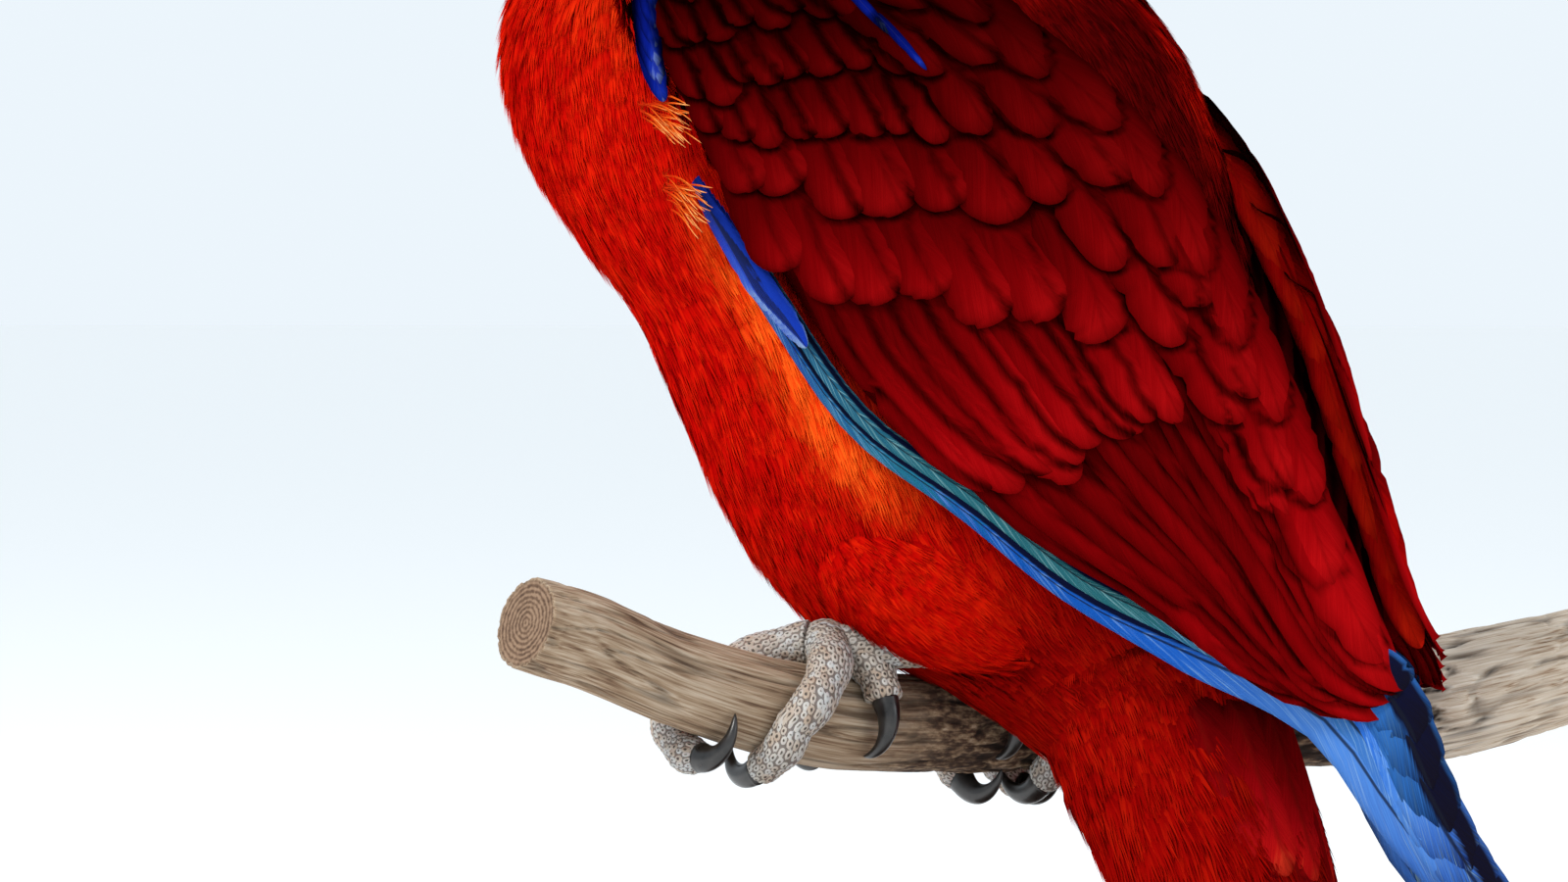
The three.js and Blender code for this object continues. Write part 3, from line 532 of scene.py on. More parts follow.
def toe_stops(t, toe, count):
    """Centres and radii of a toe that reaches round the branch, thicker at each joint, with a round tip."""
    _, reach, root, tip = toe
    joints = max(4, round(abs(reach) / 20))
    centres, radii = [], []
    for f in np.linspace(0, 1, count):
        shift = root + (tip - root) * min(1, f * 1.6)
        radius = TOE_RADIUS * (1.02 - 0.22 * f) * (0.995 + 0.045 * math.cos(math.pi * joints * f))
        round_tip = math.sqrt(max(0.0, 1 - max(0, (f - 0.93) / 0.07) ** 2 * 0.7))
        centres.append(beside_branch(t + shift / BRANCH_LENGTH, reach * (0.04 + 0.96 * f), radius * 0.86))
        radii.append(radius * round_tip)
    return centres, radii


foot_skin, tree, shader = finish_named("scaly_foot_skin", Roughness=0.62, Subsurface_Weight=0.05)
groove, luck = attribute(tree, "groove"), attribute(tree, "chance")
dust = noise_of(tree, own_place(tree), 900.0, 3.0)
patches = noise_of(tree, own_place(tree), 110.0, 2.0)
pale = colours(tree, sums(tree, (luck, 0.5), (patches, 0.6)), [
    (0.25, (0.36, 0.27, 0.20)), (0.5, (0.42, 0.37, 0.32)), (0.8, (0.45, 0.45, 0.44))])
spots = colours(tree, sums(tree, (groove, 1.0), (dust, 0.30), (luck, 0.12)), [
    (0.38, (0.03, 0.024, 0.020)), (0.50, (0.20, 0.17, 0.14)), (0.61, (0.92, 0.92, 0.92)),
    (1.00, (0.86, 0.87, 0.88)), (1.16, (0.30, 0.27, 0.26))])
painted(tree, shader, mixed_colour(tree, 1.0, pale, spots, "MULTIPLY"))
bumped(tree, shader, dust, 0.3, 0.0002)

SHANK_RADIUS = smooth([(0, 4.5), (0.2, 4.2), (0.45, 3.75), (0.7, 3.6), (0.9, 3.9), (1, 3.6)])
BALL_HALF_LENGTH, BALL_RADIUS = 5.2, 5.3
SHANK_SCALE, TOE_SCALE, SCALE_HEIGHT = 1.75, 1.65, 0.30
SCUTE_SHARE = 0.085  # half the width of the row of scutes, as a share of the way round a toe
for name, (t, heel, toes) in FEET.items():
    tangent = branch_frame(t)[0]
    pad = beside_branch(t, 0, TOE_RADIUS * 0.8)
    heel = np.array(heel, float)
    shares = np.linspace(-0.12, 1, 60)
    shank = [pad + (heel - pad) * f for f in shares]
    parts = [scaled_tube(shank, SHANK_RADIUS(shares)[:, 0], (0, 0, 1), 64, SHANK_SCALE, SCALE_HEIGHT)]
    angles = np.linspace(math.pi - 0.1, 0.1, 34)
    ball = [pad + unit(heel - pad) * BALL_HALF_LENGTH * math.cos(a) for a in angles]
    ball_radii = [BALL_RADIUS * math.sin(a) + 0.05 for a in angles]
    parts.append(scaled_tube(ball, ball_radii, (0, 0, 1), 64, SHANK_SCALE, 0.28))
    for toe in toes:
        centres, radii = toe_stops(t, toe, 30 + int(abs(toe[1]) * 0.5))
        parts.append(scaled_tube(centres, radii, tangent, 68, TOE_SCALE, SCALE_HEIGHT, SCUTE_SHARE))
    foot = joined_pieces("foot_skin_" + name, parts)
    foot.data.materials.append(foot_skin)
    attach(foot, "root")
    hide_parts("foot_" + name)

# ---- Claws ----
# One black horn claw on the end of each toe. It arches away from the bark and comes back to it with its point,
# ridged along its upper side and flattened at its sides.
claw_horn, tree, shader = finish_named("black_claw_horn")
growth = noise_of(tree, own_place(tree), 420.0)
painted(tree, shader, colours(tree, growth, [(0.35, (0.004, 0.0035, 0.0035)), (0.7, (0.022, 0.019, 0.018))]))
tree.links.new(ranged(tree, growth, to_low=0.2, to_high=0.42), shader.inputs["Roughness"])
bumped(tree, shader, growth, 0.15, 0.0002)

for name, (t, _, toes) in FEET.items():
    for number, reach, _, tip in toes:
        way = math.copysign(1, reach)
        start = math.degrees(0.3 / (branch_radius(t)[0] + TOE_RADIUS)) * 1.15
        place = t + tip / BRANCH_LENGTH
        tangent = branch_frame(place)[0]
        rings, centres, radii = [], [], []
        for f in np.linspace(-0.06, 1, 30):
            g = max(f, 0)
            out = TOE_RADIUS * 0.72 * (1 - g ** 1.8) + 1.3 * math.sin(math.pi * g) + 0.3
            centres.append(beside_branch(place, reach + way * (start + CLAW_TURN * f), out))
            radii.append(CLAW_RADIUS * (1 - g) ** 0.75 + 0.12)
        centres = np.array(centres)
        for i, ahead in enumerate(np.gradient(centres, axis=0)):
            ahead = unit(ahead)
            side = unit(np.cross(ahead, tangent))
            ring = []
            for angle in np.linspace(0, 2 * math.pi, 28, endpoint=False):
                c, d = math.cos(angle), math.sin(angle)
                keel = 1 + 0.06 * max(0, math.cos(2 * angle)) ** 4
                ring.append(centres[i] + (side * c * keel + np.cross(side, ahead) * d * 0.86) * radii[i])
            rings.append(ring)
        claw = ringed_piece(f"claw_horn_{name}_{number}", rings)
        claw.data.materials.append(claw_horn)
        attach(claw, "root")
        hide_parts(f"claw_{name}_{number}")

# ---- Skin of the head, neck, body and thighs ----
# One closed skin lies under the small feathers, a feather's rise inside their tips. Its form is the bird's body as
# rings from crown to rump, with the two feathered thighs grown into it.
COAT_DEPTH = 1.7
BODY = smooth([
    (0, -51, 210.6, -43, 210.9, 4), (0.6, -59, 206, -33, 208.4, 12), (1.6, -65, 198, -23.5, 200.5, 18),
    (2.8, -67, 187.5, -17, 190, 20.8), (4, -65.5, 176, -12.5, 180, 21.6), (5.2, -63, 165, -5, 169.5, 23),
    (6.4, -64.5, 153.5, 8, 159, 27), (7.6, -70, 142, 23, 148.5, 34), (8.8, -74.5, 131, 37, 137, 39.5),
    (10, -75.5, 119, 48, 124, 43), (11.2, -71.5, 105, 55, 109, 44.5), (12.4, -63, 91, 59, 95, 44),
    (13.6, -52.5, 77.5, 62, 83, 42.5), (14.8, -44.5, 62, 65, 71, 40.5), (16, -37, 45, 68, 60, 38),
    (17.2, -28, 29.5, 71, 48, 33), (18.2, -15, 17, 72.5, 35, 28), (19.1, 4, 8.5, 71.5, 21, 22),
    (20, 24, -4.5, 68, 8, 18), (20.8, 36, -16, 64, -2, 13),
])  # place from the crown; throat and belly x, z; crown and back x, z; half width
BODY_END = 20.8
THIGHS = {"left": ((6, -17.5, 28), (23, 15, 15.5), 0.52), "right": ((17, 17, 25), (23, 14.5, 16.5), 0.5)}


def on_body(at, turn, grow=0.0):
    """Points of the body's form. turn is 0 at the belly, half pi at the right side, pi at the back."""
    vx, vz, dx, dz, width = np.moveaxis(BODY(at), -1, 0)
    half = np.stack([dx - vx, np.zeros_like(dx), dz - vz], -1) / 2
    depth = np.linalg.norm(half, axis=-1, keepdims=True)
    middle = np.stack([(vx + dx) / 2, np.zeros_like(dx), (vz + dz) / 2], -1)
    out = middle - half / depth * (depth + grow) * np.cos(turn)[..., None]
    out[..., 1] += (width + grow) * np.sin(turn)
    return out


def on_thigh(name, round_, down, grow=0.0):
    """Points of a thigh's egg form: round_ goes about its long axis, and down from its top end to its heel end."""
    at, radii, tilt = THIGHS[name]
    x = (radii[0] + grow) * -np.cos(down)
    y = (radii[1] + grow) * np.sin(down) * np.cos(round_)
    z = (radii[2] + grow) * np.sin(down) * np.sin(round_)
    c, s = math.cos(tilt), math.sin(tilt)
    return np.stack([at[0] + c * x + s * z, at[1] + y, at[2] - s * x + c * z], -1)


def ring_grid(start, end, count, sides, whole_turn=2 * math.pi):
    """The place of each ring along a form, and the turn of each point round it, as two grids."""
    places, turns = np.linspace(start, end, count), np.linspace(0, whole_turn, sides, endpoint=False)
    return np.meshgrid(places, turns, indexing="ij")


THIGH_SPAN, SKIN_VOXEL = (0.05, math.pi - 0.05), 1.25
forms = [closed_rings(on_body(*ring_grid(0.02, BODY_END, 110, 72), -COAT_DEPTH))]
for name in THIGHS:
    down, round_ = ring_grid(*THIGH_SPAN, 28, 36)
    forms.append(closed_rings(on_thigh(name, round_, down, -COAT_DEPTH)))
skin = face_outwards(piece_from("skin", *together(forms)))
fused = skin.modifiers.new("fused", "REMESH")
fused.mode, fused.voxel_size = "VOXEL", SKIN_VOXEL * MM
eased_over = skin.modifiers.new("eased_over", "SMOOTH")
eased_over.factor, eased_over.iterations = 0.5, 6


def applied(piece):
    """Replaces the piece's mesh with the result of its modifiers, which are then removed."""
    made = bpy.data.meshes.new_from_object(piece.evaluated_get(bpy.context.evaluated_depsgraph_get()))
    old, piece.data = piece.data, made
    piece.modifiers.clear()
    made.name = old.name
    made.shade_smooth()
    return piece


def points_of(piece):
    """The piece's points in millimetres about the bird's own origin."""
    co = np.empty(len(piece.data.vertices) * 3)
    piece.data.vertices.foreach_get("co", co)
    return co.reshape(-1, 3) / MM - BIRD_AT


def search_tree(points):
    """A tree that finds the nearest of many points."""
    made = kdtree.KDTree(len(points))
    for i, point in enumerate(points):
        made.insert(point, i)
    made.balance()
    return made


applied(skin)

# Every point of the skin is told where it lies on the form: its ring and turn, and the lie of the feathers there.
body_at, body_turn = (values.ravel() for values in ring_grid(0.02, BODY_END, 420, 260))
samples = [on_body(body_at, body_turn, -COAT_DEPTH)]
lies = [on_body(body_at + 0.05, body_turn, -COAT_DEPTH) - on_body(body_at - 0.05, body_turn, -COAT_DEPTH)]
maps = [np.stack([body_turn / (2 * math.pi) * 0.96, 0.02 + 0.76 * body_at / BODY_END], -1)]
kinds = [np.zeros(len(body_at))]
for k, name in enumerate(THIGHS):
    down, round_ = (values.ravel() for values in ring_grid(*THIGH_SPAN, 90, 120))
    samples.append(on_thigh(name, round_, down, -COAT_DEPTH))
    lies.append(on_thigh(name, round_, down + 0.05) - on_thigh(name, round_, down - 0.05) + (0, 0, -0.5))
    maps.append(np.stack([0.02 + 0.48 * k + 0.44 * round_ / (2 * math.pi), 0.81 + 0.17 * down / math.pi], -1))
    kinds.append(np.full(len(down), k + 1.0))
samples, lies, maps, kinds = (np.concatenate(part) for part in (samples, lies, maps, kinds))
form_points = search_tree(samples)
skin_points = points_of(skin)
nearest = np.array([form_points.find(point)[1] for point in skin_points])
AT_THIGHS = 17.5  # place from the crown that the thighs count as
skin_at = np.concatenate([body_at, np.full(len(samples) - len(body_at), AT_THIGHS)])[nearest]
skin_turn = np.concatenate([body_turn, np.zeros(len(samples) - len(body_at))])[nearest]
skin_kind, skin_map = kinds[nearest], maps[nearest]
skin_lie = lies[nearest]
skin_lie /= np.linalg.norm(skin_lie, axis=1)[:, None] + 1e-9

# Where the folded wings cover it, and how far each point lies below a wing's lower edge, in degrees.
WING_BEND = np.array([-48.0, 0, 131])
WING_ALONG, WING_UP = np.array([0.68, 0, -0.733]), np.array([0.733, 0, 0.68])
SPINDLE = smooth([
    (-12, 11, 40, 38), (0, 10, 48, 44), (30, 10, 53, 48.5), (60, 8, 55, 49.5), (90, 5, 56, 48), (120, 1, 50, 42),
    (150, 1.5, 36, 31), (175, 3.5, 23, 20), (192, 6, 17, 15), (246, 4, 10, 12),
])  # along the wing from its bend; middle, half depth and half width of the form that the wings lie on
WING_EDGES = smooth([
    (-9, 9, 14), (-5, -1, 25), (1, -7, 32), (12, -12, 37), (36, -15, 42), (64, -19, 50), (88, -19, 57),
    (112, -12, 63), (135, -3, 66), (156, 7, 64), (176, 14, 57),
])  # lower and upper edge, in degrees round that form
RAISED = {-1: smooth([(0, 0), (88, -7), (135, -14), (176, -17)]), 1: smooth([(0, 0), (112, 8), (176, 17)])}


def wing_place(points):
    """Place along the wing, degrees round the form, and share of the way up the wing, of points on the body."""
    off = points - WING_BEND
    p, q, y = off @ WING_ALONG, off @ WING_UP, np.abs(points[:, 1])
    middle, depth, width = SPINDLE(p).T
    g = np.degrees(np.arctan2((q - middle) / depth, y / width))
    low, high = WING_EDGES(p).T
    high = high + np.where(points[:, 1] < 0, RAISED[-1](p)[:, 0], RAISED[1](p)[:, 0])
    return p, g, (g - low) / (high - low)


wing_p, wing_g, wing_share = wing_place(skin_points)
covered = eased(0.03, 0.12, wing_share) * (1 - eased(0.90, 0.99, wing_share)) * eased(-4, 2, wing_p)
covered *= 1 - eased(140, 150, wing_p)
below_wing = WING_EDGES(wing_p)[:, 0] - wing_g
front = (1 + np.cos(skin_turn)) / 2
on_leg = skin_kind > 0
below_neck = eased(6.8, 9.5, skin_at)
# The back is a deeper red, painted darker still as shade in the hollow between the wings, and the middle of the back
# stays red along its crest. wing_shade is painted shade just below each wing's lower edge. The body is also darker
# towards the rear.
dark_back_and_shade = (1 - eased(0.10, 0.42, front)) * below_neck * (1 - eased(17.5, 19.5, skin_at))
scarlet = np.where(on_leg, 1.0, 1 - dark_back_and_shade)
middle_back = np.exp(-((180 - np.degrees(np.abs(skin_turn))) / 12) ** 4) * below_neck
middle_back *= eased(98, 120, skin_points[:, 2])
scarlet = np.maximum(scarlet, 0.75 * middle_back * ~on_leg)
rearward = eased(96, 136, wing_p) * ~on_leg
wing_shade = eased(40, 80, wing_p) * np.exp(-((below_wing - 2) / 7) ** 2) * ~on_leg
scarlet *= (1 - 0.56 * rearward) * (1 - 0.45 * wing_shade)
# A painted highlight, brighter and yellower red, along the flank a little below each wing and on the side of the
# breast below the neck.
orange = np.exp(-((below_wing - 13) / 6.0) ** 2) * eased(26, 50, wing_p) * (1 - eased(84, 104, wing_p))
orange += 0.6 * np.exp(-((skin_at - 8.5) / 0.8) ** 2) * np.exp(-((front - 0.62) / 0.14) ** 2)
orange = np.clip(np.where(on_leg, 0.0, orange), 0, 1)
LENGTHS = smooth([(0, 3.4), (1, 3.8), (3, 5), (5, 6.6), (7, 8), (10, 9.5), (14, 10.5), (17, 10.5), (BODY_END, 9.5)])
LEG_LENGTH, TUFT_LENGTH = 7.5, 8  # of the legs' feathers, and of the tuft that all are drawn out from
feather_length = np.where(on_leg, LEG_LENGTH, LENGTHS(skin_at)[:, 0])
from_face = np.linalg.norm(skin_points - (-60, 0, 188), axis=1)
feather_length *= 0.45 + 0.55 * eased(10, 32, from_face)
store(skin, "lie", skin_lie, "FLOAT_VECTOR")
store(skin, "unwrap", np.column_stack([skin_map, np.zeros(len(skin_map))]), "FLOAT_VECTOR")
store(skin, "scarlet", scarlet)
store(skin, "orange", orange)
store(skin, "long", feather_length / TUFT_LENGTH)


def darkened(tree, colour, share):
    """A colour times a grey share of it."""
    grey = node_in(tree, "ShaderNodeCombineColor", {key: share for key in ("Red", "Green", "Blue")}).outputs["Color"]
    return mixed_colour(tree, 1.0, colour, grey, "MULTIPLY")


scarlet_down, tree, shader = finish_named("scarlet_down", Roughness=0.9, Specular_IOR_Level=0.03)
specks = noise_of(tree, own_place(tree), 650.0, 3.0)
combed = noise_of(tree, attribute(tree, "unwrap", "Vector"), 1.0, 3.0, (150, 12, 1))
# The skin under the feathers takes the same marks: deeper red and painted shade where the mask is low, with the
# painted highlight mixed in.
deep = mixed_colour(tree, attribute(tree, "scarlet"), (0.085, 0.001, 0.001, 1), (0.30, 0.006, 0.002, 1))
lit = mixed_colour(tree, attribute(tree, "orange"), deep, (0.50, 0.04, 0.004, 1))
dull = ranged(tree, sums(tree, (specks, 0.5), (combed, 0.5)), 0.3, 0.7, 0.35)
painted(tree, shader, darkened(tree, lit, dull))
bumped(tree, shader, specks, 0.4, 0.0004)
skin.data.materials.append(scarlet_down)
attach(skin, "root")
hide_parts("head", "neck", "torso", "thigh_left", "thigh_right")

# ---- Bill ----
# Upper and lower half in solid black horn, polished, with faint growth ridges. The upper one hooks down over the
# lower, and the nostrils open in its root just under the edge of the forehead feathers.
BILL_UPPER = smooth([
    (0, -54, 199, -56, 179.5, 8.6), (0.2, -66, 200, -65, 177.6, 9.4), (0.4, -76, 197, -72.5, 176.4, 8.8),
    (0.6, -84, 190, -78, 175.4, 7.2), (0.78, -88.4, 181, -81.6, 172.4, 5), (0.92, -88.6, 172.2, -83.6, 168.8, 2.4),
    (1, -86.4, 164.6, -85.4, 164.4, 0.5),
])  # share of its length; ridge x, z; cutting edge x, z; half width
BILL_LOWER = smooth([
    (0, -54, 181.5, -53, 164.5, 8.2), (0.45, -66, 180, -63.5, 162.2, 8.6), (0.75, -73, 178.6, -71.4, 164, 7.4),
    (0.92, -77.6, 176.6, -77, 167.6, 5.2), (1, -79.6, 175, -79.2, 170.6, 3.2),
])
NOSTRIL, NOSTRIL_RADIUS = (-68.4, 6.6, 195.0), 1.15

horn, tree, shader = finish_named("polished_black_horn", Specular_IOR_Level=0.22)
layers = noise_of(tree, own_place(tree), 1.0, 3.0, (90, 60, 420), 0.8)
scuffs = noise_of(tree, own_place(tree), 700.0)
growth = sums(tree, (layers, 0.7), (scuffs, 0.3))
painted(tree, shader, colours(tree, growth, [
    (0.3, (0.003, 0.003, 0.003)), (0.55, (0.006, 0.0055, 0.005)), (0.75, (0.018, 0.016, 0.014))]))
dulled = sums(tree, (scuffs, 0.6), (layers, 0.4))
tree.links.new(ranged(tree, dulled, to_low=0.2, to_high=0.42), shader.inputs["Roughness"])
bumped(tree, shader, growth, 0.12, 0.0004)


def boxy(value):
    """Makes a round section a little squarer."""
    return np.sign(value) * np.abs(value) ** 0.82


for name, shape, count in (("upper", BILL_UPPER, 84), ("lower", BILL_LOWER, 54)):
    rings = []
    for t in 1 - (1 - np.linspace(0, 1, count)) ** 1.25:
        ridge_x, ridge_z, cut_x, cut_z, width = shape(t)
        middle = np.array([(ridge_x + cut_x) / 2, 0, (ridge_z + cut_z) / 2])
        half = np.array([ridge_x - cut_x, 0, ridge_z - cut_z]) / 2
        turn = np.linspace(0, 2 * math.pi, 72, endpoint=False) + 0.04
        ridges = 1 + 0.004 * math.sin(t * 70) + 0.003 * math.sin(t * 173 + 1)
        ring = middle + np.multiply.outer(boxy(np.cos(turn)), half) * ridges
        ring[:, 1] += width * boxy(np.sin(turn)) * ridges
        rings.append(ring)
    rings = np.array(rings)
    if name == "upper":
        for side in (-1, 1):
            off = rings - np.array([NOSTRIL[0], NOSTRIL[1] * side, NOSTRIL[2]])
            away = np.linalg.norm(off, axis=-1)
            push = 0.35 * np.exp(-((away - 2.0) / 0.6) ** 2) - 1.5 * np.exp(-(away / NOSTRIL_RADIUS) ** 4)
            rings += push[..., None] * unit(np.array([-0.1, 0.75 * side, 0.62]))
    half_bill = ringed_piece("bill_horn_" + name, rings)
    half_bill.data.materials.append(horn)
    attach(half_bill, "root")
    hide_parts("bill_" + name)

# ---- Eyes ----
# Blown glass eyes, as such a model has them: a straw-yellow iris with a round black pupil under a clear dome. Each
# sits deep in the head behind a thick ring of wrinkled grey lid skin.
EYE_AT, EYE_RADIUS = np.array([-53.5, 13.6, 190.5]), 5.6
PUPIL_EDGE, IRIS_EDGE = (23.5, 25.5), (44.0, 48.0)  # degrees from the middle of the pupil
LID_RADIUS, LID_THICKNESS = 5.25, 1.05
glass, tree, shader = finish_named("glass_eye", Roughness=0.06, Specular_IOR_Level=0.4)
ring_at = attribute(tree, "ring")
spokes = attribute(tree, "spoke", "Vector")
fibres = noise_of(tree, spokes, 1.0, 4.0, (9, 9, 1.2))
iris = colours(tree, sums(tree, (ring_at, 0.016), (fibres, 0.28)), [
    (0.42, (0.36, 0.17, 0.03)), (0.58, (0.62, 0.40, 0.10)), (0.78, (0.72, 0.52, 0.20)), (0.95, (0.28, 0.12, 0.03))])
seen = mixed_colour(tree, ranged(tree, ring_at, *PUPIL_EDGE), (0.002, 0.002, 0.002, 1), iris)
painted(tree, shader, mixed_colour(tree, ranged(tree, ring_at, *IRIS_EDGE), seen, (0.012, 0.010, 0.009, 1)))

lid_skin, tree, shader = finish_named("grey_lid_skin", Roughness=0.7)
wrinkles = noise_of(tree, own_place(tree), 1400.0)
painted(tree, shader, colours(tree, wrinkles, [(0.3, (0.030, 0.026, 0.025)), (0.7, (0.15, 0.125, 0.115))]))
bumped(tree, shader, wrinkles, 0.5, 0.0002)

for name, side in (("left", -1), ("right", 1)):
    centre = EYE_AT * (1, side, 1)
    axis = unit(np.array([-0.32, side * 0.95, 0.03]))
    level = unit(np.cross(axis, (0, 0, 1)))
    up = np.cross(level, axis)
    rings, ring_values, spoke_values = [], [], []
    turn = np.linspace(0, 2 * math.pi, 56, endpoint=False)
    for angle in np.linspace(math.radians(2), math.radians(174), 56):
        dome = EYE_RADIUS * (1 + 0.035 * math.exp(-(math.degrees(angle) / 30) ** 2))
        around = np.multiply.outer(np.cos(turn), level) + np.multiply.outer(np.sin(turn), up)
        rings.append(centre + dome * (axis * math.cos(angle) + around * math.sin(angle)))
        ring_values += [math.degrees(angle)] * len(turn)
        spoke_values += [(math.cos(a), math.sin(a), math.degrees(angle) / 10) for a in turn]
    eye = piece_from("glass_eye_" + name, *closed_rings(rings))
    store(eye, "ring", ring_values + [0, 180])
    store(eye, "spoke", spoke_values + [(0, 0, 0), (0, 0, 18)], "FLOAT_VECTOR")
    face_outwards(eye, weld=False)
    eye.data.materials.append(glass)
    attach(eye, "root")
    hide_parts("eye_" + name)

    points, faces, round_, tube_sides = [], [], 96, 18
    for i in range(round_):
        a = 2 * math.pi * i / round_
        out = level * math.cos(a) + up * math.sin(a) * (0.90 if math.sin(a) > 0 else 0.96)
        core = centre + axis * (3.2 - 0.25 * math.cos(2 * a)) + out * LID_RADIUS
        for k in range(tube_sides):
            b = 2 * math.pi * k / tube_sides
            wrinkle = 0.10 * math.sin(23 * a + 2 * math.sin(b)) * max(0, math.cos(b))
            fat = LID_THICKNESS * (1 + wrinkle + 0.05 * wander(math.cos(a) * 5, math.sin(a) * 5, b))
            points.append(core + (unit(out) * math.cos(b) + axis * math.sin(b) * 0.85) * fat)
            i1, k1 = (i + 1) % round_, (k + 1) % tube_sides
            faces.append((i * tube_sides + k, i1 * tube_sides + k, i1 * tube_sides + k1, i * tube_sides + k1))
    lid = face_outwards(piece_from("eyelid_" + name, points, faces))
    lid.data.materials.append(lid_skin)
    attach(lid, "root")

# ---- Small feathers of the head, neck, body and thighs ----
# Short silky feathers, hair-like at their ends, set close all over the skin and lying back from the bill to the
# tail. Each is a fan of fine barbs on a short root, painted darker towards the root as shade. They are bright red,
# with a painted highlight of yellower red along the flanks and the side of the breast, a deeper red back that is
# painted darker still as shade between the wings, and painted shade just below the wings.
def tuft_of(name, barbs, spread, seed):
    """One feather of the tuft's length, pointing along Y, as a fan of tapering barbs."""
    rng = np.random.default_rng(seed)
    points, faces, patch = [], [], []
    for k in range(barbs):
        f = (k + 0.5) / barbs - 0.5
        length = TUFT_LENGTH * (1 - 0.9 * f * f) * rng.uniform(0.78, 1.0)
        root, tip, bow = f * spread * 0.55, f * spread * rng.uniform(0.9, 1.25), rng.uniform(-0.25, 0.25)
        wide, lift = 0.27, rng.uniform(0.0, 0.25)
        start = len(points)
        for share, half in ((0.0, 0.7), (0.5, 1.0)):
            x = root + (tip - root) * share + bow * share
            z = 0.9 * math.sin(math.pi * share * 0.55) + lift * share
            points += [(x - wide * half, length * share, z), (x + wide * half, length * share, z + 0.05)]
            patch += [(f + 0.5 - 0.4 / barbs, share, 0), (f + 0.5 + 0.4 / barbs, share, 0)]
        points.append((tip, length, 0.35 + lift))
        patch.append((f + 0.5, 1.0, 0))
        faces += [(start, start + 1, start + 3, start + 2), (start + 2, start + 3, start + 4)]
    mesh = bpy.data.meshes.new(name)
    mesh.from_pydata((np.array(points) * MM).tolist(), [], faces)
    mesh.shade_smooth()
    patches = mesh.attributes.new("patch", "FLOAT_VECTOR", "POINT")
    patches.data.foreach_set("vector", np.array(patch, np.float32).ravel())
    return bpy.data.objects.new(name, mesh)


def tufts(name, shapes):
    """A collection of tufts that is only drawn from, and not part of the scene."""
    made = bpy.data.collections.new(name)
    for shape in shapes:
        made.objects.link(shape)
    return made


TUFT_SHAPES, BARBS = 4, 7
body_tufts = tufts("body_tufts", [tuft_of(f"body_tuft_{k}", BARBS, 2.7, 40 + k) for k in range(TUFT_SHAPES)])

coat_maker = bpy.data.node_groups.new("feather_coat", "GeometryNodeTree")
for label, kind in (("Geometry", "Geometry"), ("Tufts", "Collection"), ("Where", "String"), ("Spacing", "Float"),
                    ("Rise", "Float"), ("Sway", "Float"), ("Seed", "Int"), ("Finish", "Material")):
    coat_maker.interface.new_socket(label, in_out="INPUT", socket_type="NodeSocket" + kind)
coat_maker.interface.new_socket("Geometry", in_out="OUTPUT", socket_type="NodeSocketGeometry")
given = node_in(coat_maker, "NodeGroupInput").outputs


def named(tree, name, kind="FLOAT"):
    """What the source mesh stores for each point under a name."""
    return node_in(tree, "GeometryNodeInputNamedAttribute", {"Name": name}, data_type=kind).outputs["Attribute"]


def drawn(tree, low, high, seed):
    """A chance number for each tuft, from low to high."""
    return node_in(tree, "FunctionNodeRandomValue", {2: low, 3: high, 8: seed}, data_type="FLOAT").outputs[1]


def maths(tree, operation, *parts):
    """One step of arithmetic on sockets or numbers."""
    return node_in(tree, "ShaderNodeMath", dict(enumerate(parts)), operation=operation).outputs[0]


MOST_TUFTS = 5e6  # for each square metre, before their spacing thins them out
spread = node_in(coat_maker, "GeometryNodeDistributePointsOnFaces", {
    "Mesh": given["Geometry"], "Distance Min": given["Spacing"], "Density Max": MOST_TUFTS,
    "Density Factor": named(coat_maker, given["Where"]), "Seed": given["Seed"]}, distribute_method="POISSON")
tinted = node_in(coat_maker, "GeometryNodeStoreNamedAttribute", {
    "Geometry": spread.outputs["Points"], "Name": "tint", "Value": drawn(coat_maker, 0.0, 1.0, 3)},
    data_type="FLOAT")
laid = node_in(coat_maker, "FunctionNodeAxesToRotation", {
    "Primary Axis": spread.outputs["Normal"], "Secondary Axis": named(coat_maker, "lie", "FLOAT_VECTOR")},
    primary_axis="Z", secondary_axis="Y")
rise = maths(coat_maker, "MULTIPLY", given["Rise"], drawn(coat_maker, 0.6, 1.4, 5))
sway = maths(coat_maker, "MULTIPLY", given["Sway"], drawn(coat_maker, -1.0, 1.0, 7))
nudge = node_in(coat_maker, "FunctionNodeEulerToRotation", {
    "Euler": combined(coat_maker, rise, drawn(coat_maker, -0.12, 0.12, 9), sway)}).outputs["Rotation"]
set_in = node_in(coat_maker, "FunctionNodeRotateRotation", {
    "Rotation": laid.outputs["Rotation"], "Rotate By": nudge}, rotation_space="LOCAL").outputs["Rotation"]
long = maths(coat_maker, "MULTIPLY", named(coat_maker, "long"), drawn(coat_maker, 0.8, 1.15, 11))
wide = maths(coat_maker, "POWER", long, 0.7)
which = node_in(coat_maker, "FunctionNodeRandomValue", {4: 0, 5: TUFT_SHAPES - 1, 8: 13}, data_type="INT")
choice = node_in(coat_maker, "GeometryNodeCollectionInfo", {
    "Collection": given["Tufts"], "Separate Children": True, "Reset Children": True}).outputs[0]
grown = node_in(coat_maker, "GeometryNodeInstanceOnPoints", {
    "Points": tinted.outputs["Geometry"], "Instance": choice, "Pick Instance": True,
    "Instance Index": which.outputs[2], "Rotation": set_in, "Scale": combined(coat_maker, wide, long, wide)})
real = node_in(coat_maker, "GeometryNodeRealizeInstances", {"Geometry": grown.outputs["Instances"]})
